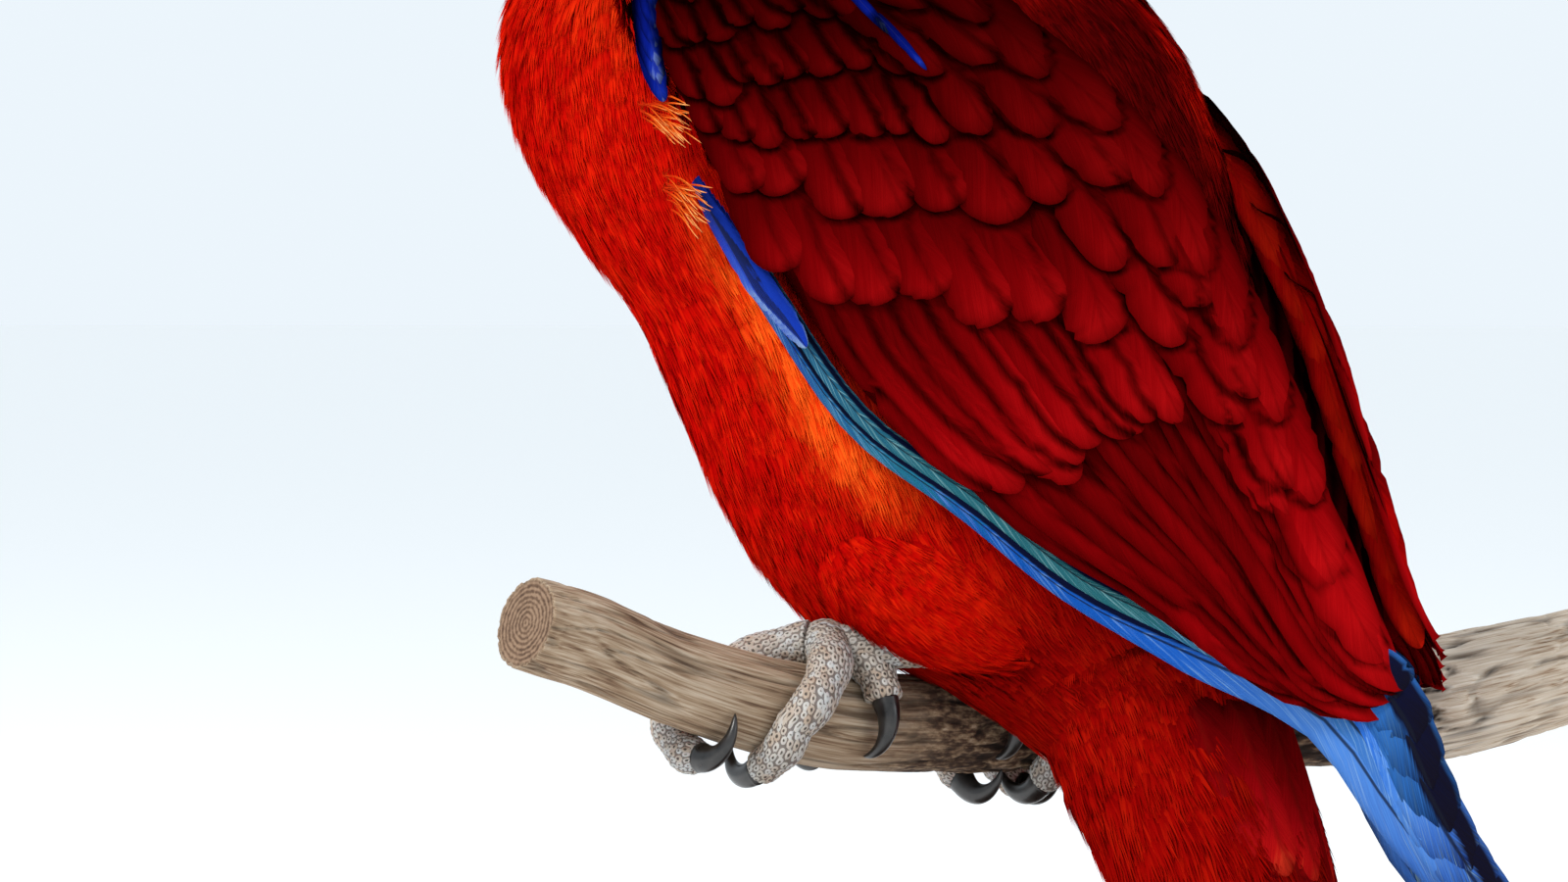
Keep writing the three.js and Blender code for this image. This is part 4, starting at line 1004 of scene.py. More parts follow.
PATCH_SIZE = 0.003  # of each tuft on the map that its colours are baked to
patch_at = node_in(coat_maker, "ShaderNodeVectorMath", {
    0: named(coat_maker, "patch", "FLOAT_VECTOR"), 1: (PATCH_SIZE, PATCH_SIZE, 0),
    2: named(coat_maker, "unwrap", "FLOAT_VECTOR")}, operation="MULTIPLY_ADD")
unwrapped = node_in(coat_maker, "GeometryNodeStoreNamedAttribute", {
    "Geometry": real.outputs["Geometry"], "Name": "OFBake", "Value": patch_at.outputs["Vector"]},
    data_type="FLOAT2", domain="CORNER")
finished = node_in(coat_maker, "GeometryNodeSetMaterial", {
    "Geometry": unwrapped.outputs["Geometry"], "Material": given["Finish"]})
node_in(coat_maker, "NodeGroupOutput", {"Geometry": finished.outputs["Geometry"]})


def coat(name, source, tuft_set, where, spacing, rise, sway, seed, finish):
    """Grows feathers on a source mesh, denser where its attribute is higher, as one plain mesh."""
    grower = source.copy()
    grower.data = source.data.copy()
    scene.collection.objects.link(grower)
    maker = grower.modifiers.new("feathers", "NODES")
    maker.node_group = coat_maker
    sockets = {item.name: item.identifier for item in coat_maker.interface.items_tree if item.in_out == "INPUT"}
    inputs = {"Tufts": tuft_set, "Where": where, "Spacing": spacing * MM, "Rise": math.radians(rise),
              "Sway": math.radians(sway), "Seed": seed, "Finish": finish}
    for label, value in inputs.items():
        maker[sockets[label]] = value
    grower.update_tag()
    bpy.context.view_layer.update()
    mesh = bpy.data.meshes.new_from_object(grower.evaluated_get(bpy.context.evaluated_depsgraph_get()))
    bpy.data.objects.remove(grower)
    for spare in ("lie", "unwrap", "long"):
        if spare in mesh.attributes:
            mesh.attributes.remove(mesh.attributes[spare])
    mesh.name = name
    mesh.shade_smooth()
    mesh.materials.clear()
    mesh.materials.append(finish)
    mesh.polygons.foreach_set("material_index", np.zeros(len(mesh.polygons), int))
    piece = bpy.data.objects.new(name, mesh)
    scene.collection.objects.link(piece)
    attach(piece, "root")
    return piece


scarlet_feather, tree, shader = finish_named("scarlet_feather", Roughness=0.6, Specular_IOR_Level=0.0)
across, outwards, _ = parts_of(tree, attribute(tree, "patch", "Vector"))
tint = attribute(tree, "tint")
barb = maths(tree, "FLOOR", maths(tree, "MULTIPLY", across, float(BARBS)))
each_barb = node_in(tree, "ShaderNodeTexWhiteNoise", {
    "Vector": combined(tree, barb, maths(tree, "MULTIPLY", tint, 997.0))}, noise_dimensions="2D").outputs["Value"]
clouds = noise_of(tree, own_place(tree), 45.0, 2.0)
combed = noise_of(tree, node_in(tree, "ShaderNodeUVMap", uv_map="OFBake").outputs["UV"], 1.0, 3.0, (150, 12, 1))
level = sums(tree, (tint, 0.12), (each_barb, 0.28), (outwards, 0.25), (clouds, 0.25), (combed, 0.45))
bright = colours(tree, level, [
    (0.32, (0.09, 0.0003, 0.0006)), (0.52, (0.24, 0.0006, 0.0008)), (0.74, (0.40, 0.0025, 0.001)),
    (1.0, (0.56, 0.014, 0.002))])
# The second ramp is the deep red of the back, together with the painted shade between the wings and below them.
dark = colours(tree, level, [
    (0.32, (0.006, 0.0002, 0.0003)), (0.60, (0.035, 0.0004, 0.0006)), (1.0, (0.11, 0.001, 0.001))])
# The third ramp is the colour of the painted highlight.
highlight_tone = colours(tree, level, [
    (0.35, (0.34, 0.003, 0.001)), (0.62, (0.60, 0.024, 0.002)), (0.95, (0.86, 0.12, 0.010))])
body_colour = mixed_colour(tree, attribute(tree, "scarlet"), dark, bright)
body_colour = mixed_colour(tree, attribute(tree, "orange"), body_colour, highlight_tone)
# Each tuft is painted darker towards its root, as shade under the tufts that lie over it.
painted(tree, shader, darkened(tree, body_colour, ranged(tree, outwards, 0.0, 0.55, 0.35)))

LID_AT, BARE_EDGE = np.array([-53.5, 16.5, 190.5]), (5.6, 6.6)  # no feather grows on the lids
from_lid = np.minimum(*(np.linalg.norm(skin_points - LID_AT * (1, side, 1), axis=1) for side in (1, -1)))
bare = 1 - eased(*BARE_EDGE, from_lid)
uncovered = (1 - bare) * (1 - covered)
NECK_FROM, BELLY_FROM, VENT_FROM = 5.6, 10.8, 15.2  # places from the crown
fore, below_head = (front > 0.2) & ~on_leg, skin_at >= NECK_FROM
COAT_PARTS = [  # name, its part of the skin, and the feathers' spacing and rise
    ("head", ~below_head & ~on_leg, 0.85, 7.5),
    ("breast", below_head & (skin_at < BELLY_FROM) & fore, 0.85, 7.5),
    ("belly", (skin_at >= BELLY_FROM) & (skin_at < VENT_FROM) & fore, 0.85, 7.5),
    ("vent", (skin_at >= VENT_FROM) & fore, 0.95, 7.5),
    ("back", below_head & ~fore & ~on_leg, 1.0, 4),
    ("legs", on_leg, 0.8, 7.5),
]
for seed, (part, chosen, spacing, rise) in enumerate(COAT_PARTS, 1):
    store(skin, "room_" + part, uncovered * chosen)
    coat("small_feathers_" + part, skin, body_tufts, "room_" + part, spacing, rise, 10, seed, scarlet_feather)

# ---- Wings ----
# Each folded wing is a pad of skin and down, shingled with crimson feathers: rows of small coverts from the bend
# back, long secondaries under them, and broad shoulder feathers along the top edge.
def from_axes(origin, along, up, s, u, y):
    """Points s along one axis, u up the other, and y to the bird's right."""
    return origin + s[..., None] * along + u[..., None] * up + y[..., None] * np.array([0.0, 1, 0])


def on_wing(side):
    """A function for points on the form that a wing lies on: along it, degrees round it, and height over it."""
    def at(p, g, lift):
        middle, depth, width = np.moveaxis(SPINDLE(p), -1, 0)
        turn = np.radians(g)
        up, out = np.sin(turn) * width, np.cos(turn) * depth
        size = np.hypot(up, out)
        q = middle + depth * np.sin(turn) + lift * up / size
        y = width * np.cos(turn) + lift * out / size
        return from_axes(WING_BEND, WING_ALONG, WING_UP, p, q, y * side)
    return at


def wing_reach(p, g):
    """Millimetres for each degree round that form."""
    _, depth, width = np.moveaxis(SPINDLE(p), -1, 0)
    return np.hypot(depth * np.cos(np.radians(g)), width * np.sin(np.radians(g))) * math.pi / 180


def wing_angle(p, share, side):
    """Degrees round that form, from the place along the wing and the share of the way up it."""
    low, high = np.moveaxis(WING_EDGES(p), -1, 0)
    return low + (high + RAISED[side](p)[..., 0] - low) * share


def on_inner_edge(side):
    """The same for a wing's inner edge: place along the wing, millimetres down from its crest, and height inwards."""
    def at(p, down, lift):
        crest = on_wing(side)(p, wing_angle(p, 1.0, side), 1.0 - down)
        return crest - lift[..., None] * np.array([0.0, side, 0])
    return at


def edge_reach(p, down):
    """Millimetres for each millimetre down from the crest."""
    return np.ones(np.shape(p))


ACROSS = np.array([-1, -0.72, -0.42, -0.15, -0.045, 0.045, 0.15, 0.42, 0.72, 1])  # a vane's columns, from its shaft
VANE_THICKNESS, SHAFT_RISE = 0.26, 0.2


def vane(on, reach, path, width, lifts, tilt=0.0, seed=0, rows=26, blunt=0.24, root=0.55, fray=0.03,
         camber=0.075, swell=(0, 0.45)):
    """One feather as a closed thin plate: its points as (row, column, 3) for top and underside, and its map."""
    rng = np.random.default_rng(seed)
    line = line_through([(u, v, 0) for u, v in path])
    tip_rows = 1 - blunt + blunt * np.sin(np.linspace(0, math.pi / 2, 9)[1:])
    t = np.concatenate([np.linspace(0, 1 - blunt, rows - 8), tip_rows])
    middle = np.array([line(f) for f in t])
    ahead = np.array([line(min(f + 0.02, 1)) - line(max(f - 0.02, 0)) for f in t])
    per = reach(middle[:, 0], middle[:, 1])
    run = np.stack([ahead[:, 0], ahead[:, 1] * per], -1)
    run /= np.linalg.norm(run, axis=1)[:, None]
    round_tip = np.sqrt(np.clip(1 - (np.clip(t - 1 + blunt, 0, 1) / blunt) ** 2, 0.0016, 1))
    half = width / 2 * (root + (1 - root) * eased(*swell, t)) * round_tip
    half = np.stack([half, half], -1) * (1 + rng.uniform(-fray, fray, (len(t), 2)))
    for _ in range(2):
        half[rng.integers(rows // 2, rows - 3), rng.integers(0, 2)] *= 0.86
    off = np.where(ACROSS < 0, half[:, :1], half[:, 1:]) * ACROSS
    u = middle[:, :1] - run[:, 1:] * off
    v = middle[:, 1:2] + run[:, :1] * off / per[:, None]
    rise = -0.8 + (lifts[0] + 0.8) * eased(0, 0.2, t) + (lifts[1] - lifts[0]) * t ** 1.3 - 0.2 * eased(0.85, 1, t)
    top = rise[:, None] + width * camber * (1 - ACROSS ** 2) + tilt * ACROSS
    top = top + SHAFT_RISE * (np.abs(ACROSS) < 0.1) * (1 - 0.7 * t[:, None])
    under = top - VANE_THICKNESS + 0.18 * np.abs(ACROSS)
    shaft_steps = np.diff(on(middle[:, 0], middle[:, 1], 0 * t), axis=0)
    along = np.concatenate([[0], np.cumsum(np.linalg.norm(shaft_steps, axis=1))])
    spread = np.broadcast_to(t[:, None], off.shape)
    place = np.stack([np.broadcast_to(ACROSS, off.shape), spread, np.full(off.shape, rng.uniform())], -1)
    barbs = np.stack([off, np.broadcast_to(along[:, None], off.shape), np.full(off.shape, rng.uniform(0, 50))], -1)
    return on(u, v, top), on(u, v, under), place, barbs


def shade_under_edges(vanes, reach=2.3):
    """How deep each point of each vane lies in the shade beside the edges of the vanes laid over it later."""
    edges, owner = [], []
    for n, (top, *_) in enumerate(vanes):
        rim = np.concatenate([top[:, 0], top[::-1, -1]])
        for f in (0, 0.25, 0.5, 0.75):
            edges.append(rim[:-1] * (1 - f) + rim[1:] * f)
            owner.append(np.full(len(rim) - 1, n))
    owner = np.concatenate(owner).tolist()
    all_edges = search_tree(np.concatenate(edges))
    shades = []
    for n, (top, *_) in enumerate(vanes):
        found = [all_edges.find_range(point, reach) for point in top.reshape(-1, 3)]
        nearest = [min((far for _, i, far in near if owner[i] > n), default=reach) for near in found]
        shades.append([1 - far / reach for far in nearest] * 2)
    return np.concatenate(shades)


def plumage(name, vanes, finish, shaded=True):
    """One object from many vanes, each given its own cell on the map that its colours are baked to."""
    points, faces, place, barbs, chart = [], [], [], [], []
    cells = math.ceil(math.sqrt(len(vanes)))
    count = 0
    for n, (top, under, spot, barb) in enumerate(vanes):
        rows, columns = top.shape[:2]
        ids = np.arange(rows * columns).reshape(rows, columns)
        a, b, c, d = ids[:-1, :-1], ids[1:, :-1], ids[1:, 1:], ids[:-1, 1:]
        upper = np.stack([a, b, c, d], -1).reshape(-1, 4)
        lower = upper[:, ::-1] + rows * columns
        edge = np.concatenate([ids[:-1, 0], ids[-1, :-1], ids[:0:-1, -1], ids[0, :0:-1]])
        following = np.roll(edge, -1)
        rim = np.stack([following, edge, edge + rows * columns, following + rows * columns], -1)
        points += [top.reshape(-1, 3), under.reshape(-1, 3)]
        faces.append(np.concatenate([upper, lower, rim]) + count)
        place += [spot.reshape(-1, 3)] * 2
        barbs += [barb.reshape(-1, 3)] * 2
        share, t = (spot[..., 0].ravel() + 1) / 2, spot[..., 1].ravel()
        row, column = divmod(n, cells)
        for start, wide in ((0.03, 0.64), (0.71, 0.26)):
            chart.append(np.stack([(column + start + wide * share) / cells, (row + 0.03 + 0.94 * t) / cells], -1))
        count += 2 * rows * columns
    points, chart = np.concatenate(points), np.concatenate(chart)
    piece = piece_from(name, points, np.concatenate(faces).tolist())
    store(piece, "place", np.concatenate(place), "FLOAT_VECTOR")
    store(piece, "barbs", np.concatenate(barbs), "FLOAT_VECTOR")
    store(piece, "shade", shade_under_edges(vanes) if shaded else np.zeros(len(points)))
    corners = np.empty(len(piece.data.loops), int)
    piece.data.loops.foreach_get("vertex_index", corners)
    piece.data.uv_layers.new(name="OFBake").data.foreach_set("uv", chart[corners].astype(np.float32).ravel())
    face_outwards(piece, weld=False)
    piece.data.materials.append(finish)
    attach(piece, "root")
    return piece


def barb_noise(tree, slope, across, along, detail=3.0):
    """Noise drawn out along barbs that leave the shaft at a slant."""
    x, y, own = parts_of(tree, attribute(tree, "barbs", "Vector"))
    slant = maths(tree, "MULTIPLY_ADD", y, slope, maths(tree, "ABSOLUTE", x))
    lined = combined(tree, maths(tree, "MULTIPLY", slant, across), maths(tree, "MULTIPLY", y, along), own)
    return noise_of(tree, lined, 1.0, detail)


def feather_finish(name, stops, rim, roughness, shaded_heights=(0.160, 0.245, 1.0)):
    """A vane's finish: colours from root to tip, fine barbs, a rim, and painted shade under and beside the vanes laid
    over it.
    """
    made, tree, shader = finish_named(name, Roughness=roughness, Specular_IOR_Level=0.0)
    across, to_tip, own = parts_of(tree, attribute(tree, "place", "Vector"))
    from_shaft = maths(tree, "ABSOLUTE", across)
    fine, broad = barb_noise(tree, -0.42, 3.4, 0.10), barb_noise(tree, -0.42, 0.7, 0.05, 2.0)
    level = sums(tree, (to_tip, 1.0), (fine, 0.34), (broad, 0.34), (own, 0.16), (from_shaft, -0.10))
    base = colours(tree, maths(tree, "ADD", level, -0.36), stops)
    outer = maths(tree, "MAXIMUM", from_shaft, maths(tree, "MULTIPLY_ADD", to_tip, 5.0, -4.0))
    base = mixed_colour(tree, ranged(tree, outer, 0.45, 1.0, 0.0, 0.6), base, (*rim, 1))
    red, green, blue = stops[-1][1]
    shaft = ranged(tree, from_shaft, 0.10, 0.03, 0.0, 0.28)
    base = mixed_colour(tree, shaft, base, (red * 0.25, green * 0.2, blue * 0.25, 1))
    overlaid = maths(tree, "MULTIPLY_ADD", fine, 0.35, attribute(tree, "shade"))
    shade = ranged(tree, overlaid, 0.42, 1.1, 1.0, 0.06, "SMOOTHSTEP")
    low, high, darkest = shaded_heights
    # Painted shade: darker with height above the table, from the low place to the high one, down to the darkest
    # share.
    height_shade = ranged(tree, parts_of(tree, own_place(tree))[2], low, high, 1.0, darkest)
    painted(tree, shader, darkened(tree, base, maths(tree, "MULTIPLY", shade, height_shade)))
    bumped(tree, shader, sums(tree, (fine, 0.8), (broad, 0.4)), 0.55, 0.00045)
    return made


# The wing's crimson is painted darker towards its top as shade, falling to 0.13 of its colour between 0.137 m and
# 0.236 m up.
crimson_feather = feather_finish("crimson_feather", [
    (0.0, (0.04, 0.0003, 0.0006)), (0.16, (0.09, 0.0004, 0.0008)), (0.45, (0.165, 0.0006, 0.0014)),
    (0.72, (0.245, 0.0010, 0.0022)), (1.0, (0.36, 0.0030, 0.004))], (0.062, 0.0003, 0.0006), 0.6,
    (0.137, 0.236, 0.13))
# A near-black copy of the crimson, painted shade, for the hidden inner side of the wings and the shaded inner edge of
# the left wing.
shaded_feather = feather_finish("shaded_crimson_feather", [
    (0.0, (0.004, 0.0002, 0.0003)), (0.5, (0.012, 0.0003, 0.0005)), (1.0, (0.05, 0.0006, 0.001))],
    (0.004, 0.0002, 0.0003), 0.6)
# A lit copy, brighter red, for the inner edge of the far, right wing.
lit_edge_feather = feather_finish("scarlet_edge_feather", [
    (0.05, (0.012, 0.0003, 0.0005)), (0.45, (0.12, 0.0006, 0.001)), (0.7, (0.42, 0.002, 0.002)),
    (1.0, (0.62, 0.014, 0.003))], (0.16, 0.0006, 0.001), 0.6)
blue_feather = feather_finish("deep_blue_feather", [
    (0.05, (0.0008, 0.001, 0.012)), (0.45, (0.001, 0.0025, 0.06)), (0.8, (0.002, 0.007, 0.14)),
    (0.95, (0.006, 0.018, 0.22)), (1.05, (0.08, 0.12, 0.34))], (0.001, 0.0015, 0.02), 0.45)

# The hairs over the wing's lower edge run from red at the root to pale yellow-red tips, a painted highlight.
wisp_hair = feather_finish("wisp_hair", [
    (0.05, (0.30, 0.002, 0.001)), (0.42, (0.48, 0.02, 0.002)), (0.72, (0.66, 0.12, 0.01)), (1.0, (0.80, 0.42, 0.14))],
    (0.55, 0.06, 0.006), 0.6)

def between(first, last, f):
    """A value that goes from the first to the last with f."""
    return first + (last - first) * f


def shares_of(count):
    """The number of each feather in a row, and its share of the way from the first to the last."""
    return [(i, i / (count - 1)) for i in range(count)]


def wing_vane(side, path, *sizes, **more):
    """A vane on a wing, its path given as place along the wing and share of the way up it."""
    path = [(p, float(wing_angle(np.array(p), s, side))) for p, s in path]
    return vane(on_wing(side), wing_reach, path, *sizes, **more)


# Rows of feathers: how many, path of the lowest and of the highest as place along the wing and share of the way
# up it, widths of the two, and heights of root and tip over the form, of the lowest and of the highest.
WING_ROWS = [
    (9, [(70, 0.13), (112, 0.07), (144, 0.02), (165, -0.07), (182, 0.10)],
     [(92, 0.7), (122, 0.66), (150, 0.64), (170, 0.64), (185.5, 0.64)], (12, 12.5), (0.1, 1.4), (0.6, 2.9)),
    (4, [(96, 0.7), (124, 0.68), (156, 0.70), (185, 0.76)], [(96, 0.92), (124, 0.94), (152, 0.97), (182, 1)],
     (12.5, 12), (0.9, 3.1), (1.6, 3.4)),
    (10, [(52, 0.12), (84, 0.09), (114, 0.06)], [(84, 0.7), (106, 0.68), (126, 0.62)], (9.5, 10.5), (0.8, 1.5),
     (1.2, 2.1)),
    (7, [(34, 0.12), (50, 0.11), (61, 0.11)], [(78, 0.68), (94, 0.66), (108, 0.6)], (13, 13.5), (1.6, 2.4),
     (1.9, 2.9)),
    (6, [(22, 0.15), (36, 0.14), (46, 0.13)], [(54, 0.72), (68, 0.68), (80, 0.62)], (13, 13.5), (2.2, 3.0),
     (2.4, 3.3)),
    (8, [(14, 0.16), (26, 0.15), (34, 0.12)], [(40, 0.74), (52, 0.7), (62, 0.66)], (9.5, 9.5), (2.6, 3.3),
     (2.7, 3.5)),
    (8, [(8, 0.20), (18, 0.18), (25, 0.14)], [(28, 0.76), (38, 0.73), (47, 0.7)], (8.5, 8.5), (2.8, 3.5),
     (2.9, 3.6)),
    (8, [(2, 0.26), (10, 0.22), (17, 0.19)], [(17, 0.8), (26, 0.77), (34, 0.74)], (7.5, 8), (3.0, 3.6), (3.0, 3.7)),
    (7, [(-4, 0.34), (3, 0.28), (9, 0.25)], [(7, 0.84), (15, 0.81), (22, 0.78)], (7, 7.5), (3.0, 3.6), (3.0, 3.7)),
    (6, [(-9, 0.46), (-4, 0.38), (2, 0.32)], [(-3, 0.84), (5, 0.84), (12, 0.82)], (6.5, 7), (2.9, 3.4), (2.9, 3.6)),
]
SECONDARY_ROWS = 2  # the first rows, whose long vanes are flatter and lie over each other like slates
# Columns at the shoulder: share of the way up the wing, tips of the first and last, how many, and width.
SHOULDER_COLUMNS = [(0.78, 52, 148, 7, 12.5), (0.90, 44, 162, 9, 13.5), (1.0, 36, 152, 9, 12.5)]
INNER_TIPS, INNER_COUNT = (181, 57), 14
for name, side in (("left", -1), ("right", 1)):
    vanes, seed = [], 100 if side < 0 else 600
    luck = np.random.default_rng(seed)
    for level, (count, lowest, highest, widths, low_lifts, high_lifts) in enumerate(WING_ROWS):
        tilt, camber = (-1.0, 0.03) if level < SECONDARY_ROWS else (-0.34, 0.075)
        for _, f in shares_of(count):
            seed += 1
            path = [(between(p, q, f), between(s, r, f)) for (p, s), (q, r) in zip(lowest, highest)]
            path = [(p + luck.normal(0, 0.7 * k), s + luck.normal(0, 0.008 * k)) for k, (p, s) in enumerate(path)]
            root_lift = between(low_lifts[0], high_lifts[0], f)
            tip_lift = between(low_lifts[1], high_lifts[1], f) + luck.uniform(-0.1, 0.15)
            width, blunt = between(*widths, f) * luck.uniform(0.9, 1.2), luck.uniform(0.2, 0.32)
            lifts = (root_lift, tip_lift)
            vanes.append(wing_vane(side, path, width, lifts, tilt, seed, blunt=blunt, camber=camber))
    for share, first, last, count, width in SHOULDER_COLUMNS:
        for _, f in shares_of(count):
            seed += 1
            tip = between(last, first, f) + luck.normal(0, 1.5)
            path = [(max(tip - 36, -9), share - 0.01), (tip - 17, share + 0.02),
                    (tip, share - 0.01 + luck.normal(0, 0.02))]
            path = [(p, s - 0.16 * float(1 - eased(5, 50, p))) for p, s in path]
            rise = 2.4 + 1.1 * f + 0.25 * (share - 0.78) * 5
            narrow = 0.55 + 0.45 * float(eased(35, 75, tip))
            vanes.append(wing_vane(side, path, width * narrow, (rise - 0.3, rise + 0.5), -0.25, seed, blunt=0.3))
    wing = plumage("wing_feathers_" + name, vanes, crimson_feather)
    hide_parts("wing_" + name)
    inner, edge = [], []  # two rows along its inner edge, each so far below the crest and over the form
    for row, below, over in ((inner, 8.5, 0.2), (edge, 2.6 if side < 0 else 0.4, 0.6)):
        for i, f in shares_of(INNER_COUNT):
            seed += 1
            tip, down = between(*INNER_TIPS, f), below + luck.uniform(-0.4, 0.6)
            if side < 0 and row is edge:
                down -= 3.6 * float(1 - eased(60, 135, tip))
            path = [(tip - 39, down), (tip - 20, down - 0.3), (tip, down + 0.5)]
            lifts = (over + 0.05 * i, over + 0.4 + 0.05 * i)
            row.append(vane(on_inner_edge(side), edge_reach, path, 8.0 - 3.5 * f ** 3, lifts, 0.0, seed, blunt=0.4))
    # The inner rows take the painted-shade copy on both wings. The edge row takes it on the left wing and takes the
    # lit copy on the right.
    plumage("wing_inner_side_" + name, inner, shaded_feather)
    plumage("wing_inner_edge_" + name, edge, shaded_feather if side < 0 else lit_edge_feather, False)

    # The pad that they grow from.
    stations, shares = np.linspace(-9, 176, 60), np.linspace(0, 1, 22)
    p, share = np.meshgrid(stations, shares, indexing="ij")
    g = wing_angle(p, share, side)
    sunk = smooth([(-9, -8.5), (100, -10.5), (135, -5.5), (152, -2.2), (176, -1.8)])(p)[..., 0]
    rounded_off = 2.2 * np.abs(2 * share - 1) ** 6 + 0.6 * np.clip(1 - (p + 9) / 8, 0, 1) ** 2 + 0.2
    # The pad sits at 0.3 along the colour ramp, in its dark part, as painted shade under the vanes.
    place = np.stack([2 * share - 1, np.full(share.shape, 0.3), np.full(share.shape, 0.5)], -1)
    barbs = np.stack([share * 30, p, np.zeros(p.shape)], -1)
    on, floor = on_wing(side), np.minimum(sunk, -rounded_off - 0.6)
    sheet = (on(p, g, -rounded_off), on(p, g, floor), place, barbs)
    pad = plumage("wing_pad_" + name, [sheet], crimson_feather, False)
    p, share = np.tile(p.ravel(), 2), np.tile(share.ravel(), 2)
    inside = np.repeat([0.0, 1.0], len(p) // 2)
    hollow = (1 - eased(60, 84, p)) * np.where(inside > 0, 1 - eased(0.3, 0.5, share), 0)
    hollow += (1 - eased(-6, 3, p)) + (1 - eased(20, 34, p)) * (1 - eased(0.02, 0.06, share))
    store(pad, "room", np.clip(hollow, 0, 1) * (1 - eased(0.52, 0.64, share) * eased(-8, -5, p)))
    store(pad, "scarlet", 1 - 0.5 * eased(0.2, 0.7, share))
    store(pad, "orange", np.zeros(len(p)))
    store(pad, "long", 0.85 - 0.4 * eased(0.3, 0.5, share))
    store(pad, "lie", np.tile(WING_ALONG * 0.8 + np.array([0, side * 0.5, 0]), (len(p), 1)), "FLOAT_VECTOR")
    store(pad, "unwrap", np.stack([(p + 12) / 400 + 0.5 * inside, share * 0.99, 0 * p], -1), "FLOAT_VECTOR")
    coat("wing_front_down_" + name, pad, body_tufts, "room", 1.0, 16, 16, 50, scarlet_feather)

    # The blue along its front edge, the few blue feathers above, and the breast's hairs over its lower edge.
    vanes = []
    for i, f in shares_of(9):
        root = -14 + 21 * f
        start = 0.44 - 0.40 * f ** 0.6
        path = [(max(root, -11), start + 0.09), (root + 8, start + 0.015), (root + 16, start - 0.04)]
        lifts = (3.2 + 0.7 * (1 - f), 3.6 + 0.6 * (1 - f))
        vanes.append(wing_vane(side, path, 4.4, lifts, -0.1, 900 + i, blunt=0.5, camber=0.03))
    for i in range(4):
        path = [(8 + 9 * i, 0.755), (16 + 9 * i, 0.745), (24 + 9 * i, 0.735)]
        vanes.append(wing_vane(side, path, 2.5 - 0.3 * i, (4.9, 5.0), 0.0, 930 + i, blunt=0.5))
    plumage("wing_blue_edge_" + name, vanes, blue_feather)

    hairs, luck = [], np.random.default_rng(77)
    for i, f in shares_of(72):
        root = (19 if i % 2 else 31.5) + 5.5 * f + luck.uniform(-1, 1)
        start = (-0.10 if i % 2 else -0.20) + luck.uniform(-0.04, 0.04)
        up = luck.uniform(0.04, 0.15)
        path = [(root, start), (root + 3, start + up * 0.6), (root + luck.uniform(5.5, 9), start + up)]
        width, tip_lift = luck.uniform(0.18, 0.36), luck.uniform(2.8, 3.9)
        hairs.append(wing_vane(side, path, width, (2.2, tip_lift), 0.0, 960 + i, rows=12, blunt=0.7, camber=0.0))
    plumage("breast_wisps_" + name, hairs, wisp_hair, False)

# ---- Primaries ----
# The long stiff feathers of the hand, folded into one narrow blade under each wing. Their outer webs are blue, and
# their inner webs and the longest tips blue-black. Short pale primary coverts lie over their roots.
BLADE = smooth([
    (34, -10.5, 43.6, -5.5, 45.6), (64, -16.2, 43.8, -10.4, 46), (88, -19.2, 42.8, -12.8, 45),
    (112, -15, 40.2, -7.5, 41.4), (135, -12.2, 33.2, -4, 33.6), (156, -5.8, 24.5, 6.5, 23.5),
    (170, -0.5, 19, 14, 16.5), (180, 1.6, 17, 20, 13), (190, 1, 16.5, 20.5, 12.5), (200, -0.5, 16, 17.6, 12.5),
    (212, 0, 15, 13.6, 12.5), (226, 1.8, 14, 9.4, 12.4), (244, 3.6, 13, 6.4, 12.2),
])  # along the wing; height and distance from the middle of its lower edge, then of its upper edge


def on_blade(side):
    """A function for points on a wing's blade: along the wing, share of the way up the blade, and height over it."""
    def at(p, across, lift):
        low_q, low_y, high_q, high_y = np.moveaxis(BLADE(p), -1, 0)
        drop = 7 * eased(150, 215, p) if side > 0 else 0
        q = low_q + (high_q - low_q) * across - drop
        y = low_y + (high_y - low_y) * across + 1.1 * (1 - (2 * across - 1) ** 2) + lift
        return from_axes(WING_BEND, WING_ALONG, WING_UP, p, q, y * side)
    return at


def blade_reach(p, across):
    """Millimetres from the lower to the upper edge of the blade."""
    low_q, low_y, high_q, high_y = np.moveaxis(BLADE(p), -1, 0)
    return np.hypot(high_q - low_q, high_y - low_y)


def web_finish(name, outer, inner, turn_at, glints=(0.22, 0.40, 0.66, 1)):
    """A flight feather's finish: one colour ramp along its outer web and another along its inner one."""
    made, tree, shader = finish_named(name, Roughness=0.42, Specular_IOR_Level=0.02)
    across, to_tip, _ = parts_of(tree, attribute(tree, "place", "Vector"))
    fine = barb_noise(tree, -0.3, 3.6, 0.08)
    level = maths(tree, "ADD", sums(tree, (to_tip, 1.0), (fine, 0.30)), -0.15)
    first = mixed_colour(tree, ranged(tree, fine, 0.53, 0.72, 0.0, 0.5), colours(tree, level, outer), glints)
    second = colours(tree, level, inner)
    web = ranged(tree, sums(tree, (across, 1.0), (fine, 0.25)), turn_at, turn_at + 0.16)
    base = mixed_colour(tree, web, first, second)
    base = mixed_colour(tree, ranged(tree, across, 0.80, 0.93, 0.0, 0.75), base, first)
    shaft = ranged(tree, maths(tree, "ABSOLUTE", across), 0.10, 0.04, 0.0, 0.85)
    painted(tree, shader, mixed_colour(tree, shaft, base, (0.006, 0.007, 0.014, 1)))
    bumped(tree, shader, fine, 0.5, 0.0004)
    return made


